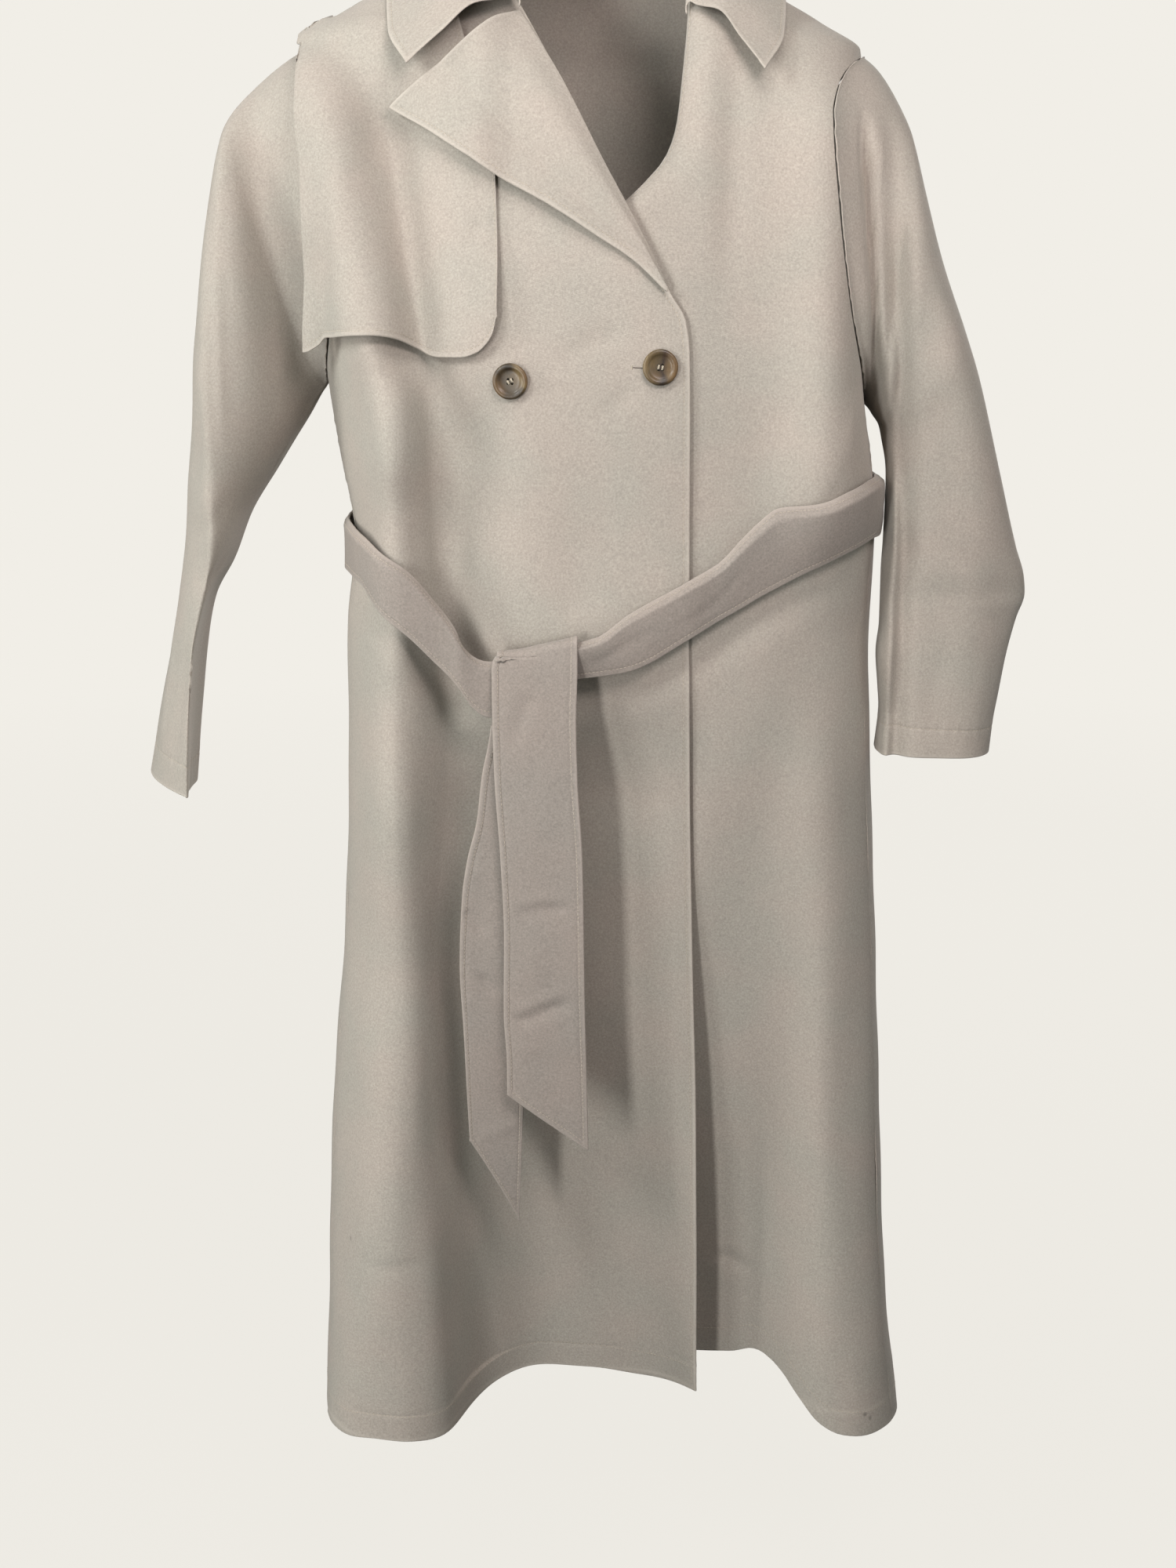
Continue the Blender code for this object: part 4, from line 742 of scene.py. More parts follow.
def shell(name, P, N, thick, ring=False, outward=True, uv=None, edge_highlight=None, n_rim=5):
    """Outer wall, inner wall and a rounded rim between them, as one closed body."""
    R, C = P.shape[:2]
    thick = np.broadcast_to(np.asarray(thick, float), (R, C))
    inner = P - N * thick[..., None]
    if uv is None:
        uv = np.stack([runs(P, 1), runs(P, 0)], -1)
    if edge_highlight is None:
        edge_highlight = np.zeros((R, C))
    idx = np.arange(R * C).reshape(R, C)
    if ring:
        idx = np.concatenate([idx, idx[:, :1]], 1)
    a, b, c, d = idx[:-1, :-1], idx[1:, :-1], idx[1:, 1:], idx[:-1, 1:]
    quads = np.stack([a, b, c, d], -1).reshape(-1, 4)
    if not outward:
        quads = quads[:, ::-1]
    verts = [P.reshape(-1, 3), inner.reshape(-1, 3)]
    uvs = [uv.reshape(-1, 2)] * 2
    tint = [edge_highlight.ravel()] * 2
    faces = [quads, quads[:, ::-1] + R * C]
    base = 2 * R * C
    dR = np.gradient(P, axis=0)
    dC = np.gradient(P, axis=1)
    if ring:
        loops = [([(0, k) for k in range(C)], -dR, outward), ([(R - 1, k) for k in range(C)], dR, not outward)]
    else:
        way = ([(0, k) for k in range(C)] + [(r, C - 1) for r in range(1, R)]
               + [(R - 1, k) for k in range(C - 2, -1, -1)] + [(r, 0) for r in range(R - 2, 0, -1)])
        T = np.zeros_like(P)
        unit = lambda v: v / np.maximum(np.linalg.norm(v, axis=-1, keepdims=True), 1e-12)
        T[0] -= unit(dR[0])
        T[-1] += unit(dR[-1])
        T[:, 0] -= unit(dC[:, 0])
        T[:, -1] += unit(dC[:, -1])
        loops = [(way, T, outward)]
    for way, T, turn in loops:
        rr = np.array([w[0] for w in way])
        cc = np.array([w[1] for w in way])
        p, n, t = P[rr, cc], N[rr, cc], T[rr, cc]
        t = t - n * np.sum(t * n, axis=-1, keepdims=True)
        t /= np.maximum(np.linalg.norm(t, axis=-1, keepdims=True), 1e-12)
        half = thick[rr, cc][:, None] / 2
        M = len(way)
        lines = [idx[rr, cc]]
        for k in range(1, n_rim):
            q = pi * k / n_rim
            verts.append(p - n * half + half * (math.cos(q) * n + math.sin(q) * t))
            uvs.append(uv[rr, cc])
            tint.append(edge_highlight[rr, cc])
            lines.append(base + np.arange(M))
            base += M
        lines.append(idx[rr, cc] + R * C)
        for up, low in zip(lines[:-1], lines[1:]):
            q = np.stack([up, low, np.roll(low, -1), np.roll(up, -1)], -1)
            faces.append(q[:, ::-1] if turn else q)
    mesh = grid_mesh(name, np.concatenate(verts), np.concatenate(faces), np.concatenate(uvs), np.concatenate(tint))
    piece = bpy.data.objects.new(name, mesh)
    bpy.context.scene.collection.objects.link(piece)
    return piece


def spread(near=(), far=(), cells=60, ease=0.0):
    """Columns of a row: sizes in from its start and from its end (mm), and even cells between."""
    a, b = np.array(sorted(near)) * MM, np.array(sorted(far)) * MM

    def places(length):
        lo = a[-1] if len(a) else 0.0
        hi = b[-1] if len(b) else 0.0
        k = min(1.0, 0.8 * length / max(lo + hi, 1e-9))
        t = np.linspace(0, 1, cells + 1)
        t = t - ease * np.sin(2 * pi * t)
        mid = lo * k + (length - (lo + hi) * k) * t
        left = a[:-1] * k if len(a) else np.zeros(0)
        right = length - b[:-1][::-1] * k if len(b) else np.zeros(0)
        return np.concatenate([left, mid, right]) / length
    return places


# ---------------------------------------------------------------- creases
# A soft trough (+) or ridge (-) along a curve through three places (mm), with its depth, its
# widths on its two sides, and the part of its length over which each end fades.
CREASE = "x0 z0 x1 z1 x2 z2 push wa wb f0 f1"


def crease_push(tab, x, z, n=18):
    """Depth of all the creases of a table at places x, z (metres)."""
    total = np.zeros(np.broadcast(x, z).shape)
    for x0, z0, x1, z1, x2, z2, push, wa, wb, f0, f1 in zip(*(tab[k] for k in CREASE.split())):
        t = np.linspace(0, 1, n + 1)
        cx, cz = 2 * x1 - (x0 + x2) / 2, 2 * z1 - (z0 + z2) / 2
        lx = ((1 - t) ** 2 * x0 + 2 * t * (1 - t) * cx + t**2 * x2) * MM
        lz = ((1 - t) ** 2 * z0 + 2 * t * (1 - t) * cz + t**2 * z2) * MM
        far = 3.0 * max(wa, wb) * MM
        near = ((x > lx.min() - far) & (x < lx.max() + far) & (z > lz.min() - far) & (z < lz.max() + far))
        if not near.any():
            continue
        px, pz = x[near], z[near]
        best = np.full(px.shape, 1e9)
        side = np.zeros(px.shape)
        along = np.zeros(px.shape)
        for k in range(n):
            ax, az, dx, dz = lx[k], lz[k], lx[k + 1] - lx[k], lz[k + 1] - lz[k]
            q = np.clip(((px - ax) * dx + (pz - az) * dz) / (dx * dx + dz * dz), 0, 1)
            ex, ez = px - ax - q * dx, pz - az - q * dz
            d2 = ex * ex + ez * ez
            hit = d2 < best
            best = np.where(hit, d2, best)
            side = np.where(hit, dx * ez - dz * ex, side)
            along = np.where(hit, (k + q) / n, along)
        dist = np.sqrt(best)
        width = np.where(side > 0, wa, wb) * MM
        fade = smooth(0, max(f0, 1e-3), along) * smooth(0, max(f1, 1e-3), 1 - along)
        total[near] += push * MM * fade * np.exp(-(dist / width) ** 2)
    return total


def ripple(x, z, size, seed):
    """Gentle unevenness of hanging cloth: a few crossing waves, the same every run."""
    out = np.zeros(np.broadcast(x, z).shape)
    for k in range(5):
        a = 0.9 * k + 0.7 * seed
        f = (2 * pi) / (0.055 + 0.032 * k)
        out = out + np.sin(f * (x * math.cos(a) + 0.55 * z * math.sin(a)) + 1.7 * k + 2.3 * seed) / (1.6 + 0.5 * k)
    return out * size


def seam_pucker(d, along, depth=0.00022, reach=0.012):
    """Small uneven puckers where a seam or a row of stitching holds the cloth."""
    wave = np.sin(along * 2 * pi / 0.0093) + 0.6 * np.sin(along * 2 * pi / 0.0151 + 1.3) + 0.5 * np.sin(along * 2 * pi / 0.0227 + 0.4)
    return depth * wave * np.exp(-(d / reach) ** 2)


def stitched(d, at=0.004, depth=0.00012, puff=0.00004, width=0.0008):
    """Push of a stitched edge at distance d from it: a puffed edge and a sewn groove."""
    groove = -depth * np.exp(-((d - at) / width) ** 2)
    return groove + puff * np.sin(pi * np.clip(d / at, 0, 1)) ** 0.7 * (d < at)


NEAR_EDGE = (0, 0.35, 0.9, 1.7, 2.6, 3.2, 3.6, 4.0, 4.4, 4.8, 5.6, 7.0)


# ---------------------------------------------------------------- threads
def resample(line, pitch):
    step = np.linalg.norm(np.diff(line, axis=0), axis=1)
    run = np.concatenate([[0], np.cumsum(step)])
    at = np.arange(pitch * 0.6, run[-1] - pitch * 0.6, pitch)
    return at, run


def stitch_rows(lines, pitch=0.0031, length=0.0022, width=0.00050, high=0.00022):
    """Points and faces of threads along lines of (points, normals)."""
    verts, faces, n = [], [], 0
    ring = 5
    for pts, nrm in lines:
        at, run = resample(pts, pitch)
        if not len(at):
            continue
        mid = np.stack([np.interp(at, run, pts[:, k]) for k in range(3)], -1)
        a = np.stack([np.interp(at - length / 2, run, pts[:, k]) for k in range(3)], -1)
        b = np.stack([np.interp(at + length / 2, run, pts[:, k]) for k in range(3)], -1)
        up = np.stack([np.interp(at, run, nrm[:, k]) for k in range(3)], -1)
        up /= np.maximum(np.linalg.norm(up, axis=1, keepdims=True), 1e-9)
        along = b - a
        along /= np.maximum(np.linalg.norm(along, axis=1, keepdims=True), 1e-9)
        across = np.cross(along, up)
        # uneven tension leans each stitch a little
        lean = 0.10 * np.sin(np.arange(len(at)) * 2.399)
        along = along + across * lean[:, None]
        sections = ((-0.5, 0.30, -0.5), (-0.28, 0.85, 0.5), (0.0, 1.0, 0.75), (0.28, 0.85, 0.5), (0.5, 0.30, -0.5))
        rows = []
        for f, w, h in sections:
            for k in range(ring):
                q = 2 * pi * k / ring
                rows.append(mid + along * (f * length) + across * (0.5 * width * w * math.cos(q))
                            + up * (high * h + 0.5 * width * 0.7 * w * math.sin(q)))
        block = np.stack(rows, 1).reshape(-1, 3)
        verts.append(block)
        per = len(sections) * ring
        quad = []
        for s in range(len(sections) - 1):
            for k in range(ring):
                j = (k + 1) % ring
                quad.append((s * ring + k, s * ring + j, (s + 1) * ring + j, (s + 1) * ring + k))
        quad = np.array(quad)
        starts = n + per * np.arange(len(at))
        faces.append((quad[None] + starts[:, None, None]).reshape(-1, 4))
        n += len(block)
    if not verts:
        return np.zeros((0, 3)), np.zeros((0, 4), int)
    return np.concatenate(verts), np.concatenate(faces)


def threads(name, lines, **sizes):
    verts, faces = stitch_rows(lines, **sizes)
    mesh = grid_mesh(name, verts, faces, np.zeros((len(verts), 2)), np.zeros(len(verts)))
    piece = bpy.data.objects.new(name, mesh)
    bpy.context.scene.collection.objects.link(piece)
    return piece


def line_at(P, N, side, d, trim=(0.0, 0.0)):
    """The line of points of a wall at distance d from one of its edges: 'first' or 'last'
    column, 'top' or 'low' row. It is trimmed at both ends."""
    if side in ("top", "low"):
        P, N = P.transpose(1, 0, 2), N.transpose(1, 0, 2)
        side = "first" if side == "top" else "last"
    run = runs(P, 1)
    place = run[:, -1:] - d if side == "last" else np.full((len(P), 1), d)
    pts = np.empty((len(P), 3))
    nrm = np.empty((len(P), 3))
    for i in range(len(P)):
        for k in range(3):
            pts[i, k] = np.interp(place[i, 0], run[i], P[i, :, k])
            nrm[i, k] = np.interp(place[i, 0], run[i], N[i, :, k])
    step = np.concatenate([[0], np.cumsum(np.linalg.norm(np.diff(pts, axis=0), axis=1))])
    keep = (step >= trim[0]) & (step <= step[-1] - trim[1])
    return pts[keep], nrm[keep]


# ================================================================ the pieces
made = {}          # piece name -> (points, normals, grid ring?)
stitching = {}     # piece name -> lines of (points, normals)
LIMP = 0.0012      # one layer of coat cloth
FOLDED = 0.0019    # an edge with its facing turned under
SASH = 0.0020      # the sash, sewn double


def painted_edge_highlight(*distances):
    """Painted edge highlight, 1 at an edge, fading over 2 mm."""
    w = 0
    for d in distances:
        w = np.maximum(w, np.exp(-(np.asarray(d) / 0.0016) ** 2))
    return w


# creases of the fronts, in millimetres across and up, seen from the front
CREASES_TOP_FRONT = table(CREASE,
    (34,  -292,    2, -302,  -36, -322,   1.5,  7,  9, 0.3, 0.5),   # from the button to the left
    (40,  -330,   22, -345,    4, -366,   1.4,  6,  8, 0.3, 0.6),
    (-18,  -420,  -8, -470,   -2, -512,   1.8, 22, 18, 0.4, 0.3),   # hollow above the belt
    (-104, -640, -106, -860, -92, -1190,  2.8, 16, 22, 0.2, 0.0),   # trough beside the tails, to the hem
    (-144, -600, -146, -800, -140, -1000, -3.4, 12, 11, 0.2, 0.3),  # crest of its left wall
    (-138, -960, -132, -1110, -126, -1236, -5.5, 16, 13, 0.4, 0.0), # and its crest at the hem
    (-118, -300, -114, -450, -106, -610,  6.2, 15,  9, 0.15, 0.08), # the waist fold's trough
    (-146, -310, -148, -440, -148, -570, -4.8, 12, 12, 0.15, 0.2),  # and its crest
    (-84,  -350, -87,  -450, -84, -560,  -4.0, 14, 26, 0.3, 0.3),   # the flat cloth beside it
    (-168, -700, -176, -900, -182, -1150, -2.0, 22, 20, 0.4, 0.1),
    (-200, -1045, -164, -1047, -127, -1043, 0.9, 4, 9, 0.4, 0.4),   # faint crease across
    (30,  -600,   38, -780,   34, -960,  -1.6, 16, 20, 0.5, 0.5),
    (58,  -640,   66, -860,   74, -1100,  1.2, 10, 14, 0.5, 0.5),
)
CREASES_UNDER_FRONT = table(CREASE,
    (206, -330,  203, -362,  196, -398,  -1.8,  8,  7, 0.4, 0.4),   # streak down the side
    (176, -428,  186, -414,  198, -402,   1.2,  4,  6, 0.3, 0.4),   # crease into the belt
    (148, -570,  146, -800,  150, -1120,  2.6, 18, 24, 0.3, 0.2),   # dark band
    (190, -560,  194, -760,  200, -1080, -2.4, 20, 18, 0.3, 0.2),   # light band
    (110, -1104, 128, -1096, 147, -1108,  1.8,  6,  9, 0.3, 0.3),   # dent
    (208, -238,  214, -234,  219, -240,   1.3,  3,  4, 0.3, 0.3),   # pucker under the arm
    (118, -190,  128, -240,  150, -300,   0.9, 12, 16, 0.5, 0.5),
)
CREASES_BACK = table(CREASE,
    (-150, -230, -120, -330,  -90, -420,  1.8, 14, 18, 0.5, 0.3),
    (-190, -300, -170, -380, -130, -440,  1.2,  9, 12, 0.4, 0.4),
    (155, -250,  120, -340,   95, -425,   1.6, 15, 12, 0.5, 0.3),
    (10,  -290,    2, -370,   14, -436,   1.4, 20, 14, 0.5, 0.3),
    (-40, -500,  -52, -700,  -58, -980,   2.0, 16, 20, 0.1, 0.5),
    (-120, -520, -138, -760, -150, -1120, -2.2, 20, 24, 0.2, 0.2),
    (66,  -500,   78, -720,   92, -1060,  2.4, 18, 14, 0.1, 0.3),
    (140, -520,  158, -740,  176, -1020, -1.8, 18, 20, 0.2, 0.3),
    (20,  -520,   26, -640,   20, -800,  -1.4, 12, 14, 0.1, 0.5),
)


def hem_levels(zs_side):
    """Rows of a panel, returned as they are given."""
    return zs_side


def fine_levels(side, n_arm, n_skirt):
    tab = ARM_L if side == "left" else ARM_R
    top, low = tab["z"][0] * MM, tab["z"][-1] * MM
    even = np.linspace(0, 1, n_arm + 1)
    arm = (top + low) / 2 + (top - low) / 2 * (0.7 * np.cos(pi * even) + 0.3 * (1 - 2 * even))
    close = HEM + np.array([28, 25.5, 24.4, 23.7, 23.0, 22.3, 21.6, 20.5, 17, 13, 9, 6, 4, 2.4, 1.2, 0.5, 0]) * MM
    skirt = np.linspace(low, close[0], n_skirt + 1)[1:]
    return np.concatenate([arm, skirt, close[1:]])


def wide_even(points, us):
    """Columns of a row, where us may be sizes worked out from the row's length."""
    step = np.linalg.norm(np.diff(points, axis=0), axis=1)
    run = np.concatenate([[0], np.cumsum(step)])
    where = us(run[-1]) if callable(us) else us
    run = run / run[-1]
    return np.stack([np.interp(where, run, points[:, k]) for k in range(3)], -1)


even = wide_even

hem_d = lambda P: P[..., 2] - HEM


def sash_low(x):
    """Height of the sash's lower edge over the front, by the place across."""
    deg = np.where(BELT["deg"] < -180, BELT["deg"] + 360, BELT["deg"])
    use = (deg > 0) & (deg < 180)
    at = body(np.radians(deg[use]), BELT["low"][use] * MM)[:, 0]
    order = np.argsort(at)
    return np.interp(x, at[order], BELT["low"][use][order] * MM)


def front(side):
    left = side == "left"
    zs = fine_levels(side, 62, 205)
    us = spread(near=(0, 0.6, 2.0), far=NEAR_EDGE, cells=74)
    P = front_panel(side, us, zs)
    sign = 1 if left else -1
    N = sign * face_normals(P)
    across = runs(P, 1)
    d_edge = across[:, -1:] - across
    d_seam = across
    d_hem = hem_d(P)
    x, z = P[..., 0], P[..., 2]
    push = -crease_push(CREASES_TOP_FRONT if left else CREASES_UNDER_FRONT, x, z)
    # it is drawn in just under the sash
    below = sash_low(x) - z
    push -= 0.0045 * smooth(-0.020, 0.006, below) * (1 - smooth(0.008, 0.050, below)) * smooth(0.004, 0.040, d_seam)
    quiet = smooth(0.0, 0.018, d_edge) * 0.7 + 0.3
    push += ripple(x, z, 0.00045, 1 if left else 4) * quiet
    neck = smooth(-0.27, -0.22, z) if not left else smooth(-0.30, -0.25, z)
    sew = stitched(d_edge)
    push += sew * (1.0 if left else 1.0)
    push += stitched(d_hem, at=0.023, depth=0.00030, puff=0.0, width=0.0010)
    push += seam_pucker(d_hem - 0.023, across, 0.00016, 0.006) + seam_pucker(d_edge - 0.004, P[..., 2], 0.00008, 0.005)
    push += seam_pucker(d_seam, z, 0.00018, 0.010) * (z < -0.34)
    # the turned hem is two layers and shows its upper edge as a faint step
    thick = LIMP + (FOLDED - LIMP) * np.maximum(1 - smooth(0.004, 0.010, d_edge), 1 - smooth(0.019, 0.024, d_hem))
    P = P + N * push[..., None]
    N = sign * face_normals(P)
    name = "front_right" if left else "front_left"
    piece = shell(name + "_cloth", P, N, thick, outward=left, edge_highlight=painted_edge_highlight(d_edge, d_hem))
    made[name] = (piece, P, N)
    lines = [line_at(P, N, "last", 0.004, (0.30 if left else 0.02, 0.004)), line_at(P, N, "low", 0.023, (0.002, 0.006))]
    stitching[name] = lines
    return piece


def back_piece():
    n_arm, n_skirt = 62, 205
    zl, zr = fine_levels("left", n_arm, n_skirt), fine_levels("right", n_arm, n_skirt)
    us = spread(near=(0, 0.6, 2.0), far=(0, 0.6, 2.0), cells=112, ease=0.06)
    P = back_panel(us, zl, zr)
    N = -face_normals(P)
    across = runs(P, 1)
    d0, d1 = across, across[:, -1:] - across
    d_hem = hem_d(P)
    x, z = P[..., 0], P[..., 2]
    push = -crease_push(CREASES_BACK, x, z) * (P[..., 1] > 0.02)
    push += ripple(x, z, 0.0005, 7)
    push += stitched(d_hem, at=0.023, depth=0.00030, puff=0.0, width=0.0010)
    push += seam_pucker(d_hem - 0.023, across, 0.00016, 0.006)
    push += seam_pucker(np.minimum(d0, d1), z, 0.00018, 0.010) * (z < -0.34)
    thick = LIMP + (FOLDED - LIMP) * (1 - smooth(0.019, 0.024, d_hem))
    P = P + N * push[..., None]
    N = -face_normals(P)
    piece = shell("back_cloth", P, N, thick, outward=False, edge_highlight=painted_edge_highlight(d_hem))
    made["back"] = (piece, P, N)
    stitching["back"] = [line_at(P, N, "low", 0.023, (0.002, 0.002))]
    return piece


# creases of a sleeve: round it (mm of the half turn, from the outer line) and along it
CREASES_SLEEVE_RIGHT = table(CREASE,
    (30,  -70,   44, -150,  52, -260,  1.4, 12, 14, 0.4, 0.5),
    (90,  -260,  70, -330,  40, -380,  1.6,  9, 14, 0.4, 0.5),
    (118, -330,  84, -388,  36, -412,  1.8,  8, 12, 0.4, 0.4),
    (120, -402,  90, -440,  50, -452,  1.2,  7, 10, 0.4, 0.5),
    (30,  -470,  46, -540,  52, -612, -1.6, 10, 12, 0.4, 0.2),
    (74,  -470,  84, -540,  86, -620,  1.4,  9, 12, 0.4, 0.2),
    (-60, -120, -70, -220, -60, -330,  1.4, 14, 16, 0.4, 0.5),
    (-110, -330, -80, -390, -40, -410, 1.6,  9, 13, 0.4, 0.4),
    (-70, -450, -80, -530, -76, -620, -1.4, 12, 14, 0.4, 0.3),
)
CREASES_SLEEVE_LEFT = table(CREASE,
    (60,  -60,   66, -180,  60, -330,  0.9, 16, 18, 0.4, 0.5),
    (110, -380,  70, -430,  24, -446,  1.3,  8, 12, 0.4, 0.4),
    (104, -420,  76, -462,  44, -476,  1.0,  7, 10, 0.4, 0.5),
    (40,  -460,  50, -520,  48, -575, -1.0, 12, 14, 0.4, 0.3),
    (86,  -470,  92, -530,  90, -580,  0.9,  8, 10, 0.4, 0.3),
    (-50, -100, -64, -220, -60, -340,  1.4, 15, 16, 0.4, 0.5),
    (-108, -360, -78, -420, -34, -440, 1.5,  9, 12, 0.4, 0.4),
    (-60, -460, -72, -520, -70, -580, -1.2, 12, 14, 0.4, 0.3),
)


# narrow folds of a sleeve's front, seen from the front
NARROW_SLEEVE_LEFT = table(FOLD,
    (206, -120, -180, -300, -345,  227,  15, 3.6, 3.2, 2),   # gap between the underarm and the sleeve
    (214, -110, -170, -480, -560,  245,  -3, 4.0, 4.0, 2),   # crisp ridge beside it
    (229, -110, -170, -480, -560,  256,   3, 5.0, 5.0, 2),   # trough behind the ridge
    (244, -480, -560, -700, -701,  244,  -2, 4.0, 4.0, 2),
    (254, -480, -560, -700, -701,  253,   2, 5.0, 5.0, 2),
)
NARROW_SLEEVE_RIGHT = table(FOLD,
    (-262,  -60, -110, -230, -330, -244,   7,  13,  12, 2),  # the inner trough starts at the shoulder
    (-281, -120, -180, -330, -400, -286,  -2, 5.0, 5.0, 2),  # crest of the outer ridge
)


def sleeve_piece(side):
    left = side == "left"
    tab = SLEEVE_LEFT if left else SLEEVE_RIGHT
    end = tab["s"][-1] * MM
    close = end - np.array([30, 27, 26.2, 25.6, 25, 24.4, 23.8, 23, 20, 16, 12, 8.5, 5.5, 3.4, 1.8, 0.8, 0]) * MM
    ss = np.concatenate([np.linspace(0, 0.03, 11)[:-1], np.linspace(0.03, close[0], 135), close[1:]])
    fine = np.linspace(0, 2 * pi, 640, endpoint=False)
    G = sleeve(side, ss, fine)
    grow = smooth(0.0, 0.020, ss)[:, None]
    narrow = fold_push(NARROW_SLEEVE_RIGHT if left else NARROW_SLEEVE_LEFT, G[..., 0], G[..., 2])
    G[..., 1] += narrow * grow * np.where(np.sin(fine) > 0, smooth(0.0, 0.3, np.sin(fine)), 0)[None]
    cols = 150
    # closer columns over the inner front, where the narrow folds are
    u = np.linspace(0, 1, 401)
    dense = 1 + 1.5 * np.exp(-((u - 0.38) / 0.13) ** 2)
    dense = np.concatenate([[0], np.cumsum((dense[1:] + dense[:-1]) / 2)])
    spaced = np.interp(np.linspace(0, 1, cols + 1), dense / dense[-1], u)[:-1]
    rows = []
    for g in G:
        # even columns round the ring, starting at the outer line
        closed = np.concatenate([g, g[:1]])
        run = np.concatenate([[0], np.cumsum(np.linalg.norm(np.diff(closed, axis=0), axis=1))])
        mixed = spaced * run[-1]
        rows.append(np.stack([np.interp(mixed, run, closed[:, k]) for k in range(3)], -1))
    P = np.array(rows)
    # near the armhole the rings keep the armhole's own spacing
    keep = np.stack([np.stack([np.interp(spaced * 2 * pi, np.append(fine, 2 * pi),
                                         np.append(g[:, k], g[0, k])) for k in range(3)], -1) for g in G])
    w = smooth(0.02, 0.16, ss)[:, None, None]
    P = keep * (1 - w) + P * w
    sign = 1 if left else -1
    N = sign * face_normals(P, ring=True)
    closed = np.concatenate([P, P[:, :1]], 1)
    round_run = runs(closed, 1)[:, :-1]
    length = runs(closed, 1)[:, -1:]
    d_cuff = end - ss[:, None] + 0 * round_run
    # a ring runs over the front first: 0 at the outer line, half its length at the inner line
    turn = np.where(round_run < length / 2, round_run, round_run - length)
    push = -crease_push(CREASES_SLEEVE_RIGHT if left else CREASES_SLEEVE_LEFT, turn, -ss[:, None] + 0 * turn)
    push += ripple(turn, -ss[:, None] + 0 * turn, 0.0004, 2 if left else 5) * smooth(0.0, 0.05, ss)[:, None]
    push += stitched(d_cuff, at=0.025, depth=0.00034, puff=0.0, width=0.0010)
    push += seam_pucker(d_cuff - 0.025, round_run, 0.0002, 0.007)
    push += seam_pucker(ss[:, None] + 0 * turn, round_run, 0.0003, 0.012)
    thick = LIMP + (FOLDED - LIMP) * (1 - smooth(0.021, 0.027, d_cuff))
    P = P + N * push[..., None]
    N = sign * face_normals(P, ring=True)
    uv = np.stack([turn, ss[:, None] + 0 * turn], -1)
    name = "sleeve_right" if left else "sleeve_left"
    piece = shell(name + "_cloth", P, N, thick, ring=True, outward=left, uv=uv, edge_highlight=painted_edge_highlight(d_cuff))
    made[name] = (piece, P, N)
    k = int(np.argmin(np.abs(ss - (end - 0.025))))
    loop = np.concatenate([P[k], P[k][:1]]), np.concatenate([N[k], N[k][:1]])
    stitching[name] = [loop]
    return piece


def flap_piece():
    us = spread(near=NEAR_EDGE, far=NEAR_EDGE, cells=56)(0.148)
    vs = 1 - spread(near=NEAR_EDGE, cells=92)(0.250)[::-1]
    P = flap_grid(us, vs)
    N = face_normals(P)
    across, down = runs(P, 1), runs(P, 0)
    d_right = across[:, -1:] - across
    d_left = across
    d_low = down[-1:] - down
    corner = np.minimum(d_right, d_low)
    x, z = P[..., 0], P[..., 2]
    push = -crease_push(CREASES_FLAP, x, z) + ripple(x, z, 0.0003, 3)
    sew = np.minimum(d_right, d_low)
    push += stitched(sew)
    push += seam_pucker(sew - 0.004, across + down, 0.00008, 0.005)
    thick = LIMP + (FOLDED - LIMP) * (1 - smooth(0.004, 0.010, sew))
    P = P + N * push[..., None]
    N = face_normals(P)
    piece = shell("storm_flap_cloth", P, N, thick, edge_highlight=painted_edge_highlight(d_right, d_low))
    made["storm_flap"] = (piece, P, N)
    stitching["storm_flap"] = [line_at(P, N, "last", 0.004, (0.01, 0.006)), line_at(P, N, "low", 0.004, (0.004, 0.006))]
    return piece


CREASES_FLAP = table(CREASE,
    (-181, -150, -176, -215, -170, -292,  2.6, 14, 15, 0.5, 0.0),   # soft trough down it
    (-78, -208,  -84, -222,  -92, -240,   0.9,  4,  6, 0.3, 0.5),   # crease by its edge
    (-150, -100, -158, -150, -176, -190,  0.9, 14, 16, 0.5, 0.5),
    (-120, -230, -114, -262, -110, -306, -0.9, 12, 12, 0.5, 0.1),
)


def lapel_piece():
    ts = spread(near=NEAR_EDGE, cells=96)(0.232)
    bs = spread(far=NEAR_EDGE, cells=40)
    rows = []
    for t in ts:
        fine = lapel_grid(np.array([t * 0.985]), np.linspace(0, 1, 121))[0]
        rows.append(wide_even(fine, bs))
    P = np.array(rows)
    N = -face_normals(P)
    across, down = runs(P, 1), runs(P, 0)
    d_edge = across[:, -1:] - across
    d_top = down
    sew = np.minimum(d_edge, d_top)
    x, z = P[..., 0], P[..., 2]
    push = ripple(x, z, 0.00025, 6) * smooth(0, 0.02, across) + stitched(sew)
    push += seam_pucker(sew - 0.004, across + down, 0.00007, 0.005)
    thick = LIMP + (FOLDED - LIMP) * (1 - smooth(0.004, 0.010, sew))
    P = P + N * push[..., None]
    N = -face_normals(P)
    piece = shell("lapel_right_cloth", P, N, thick, outward=False, edge_highlight=painted_edge_highlight(d_edge, d_top))
    made["lapel_right"] = (piece, P, N)
    stitching["lapel_right"] = [line_at(P, N, "last", 0.004, (0.006, 0.03))]
    return piece


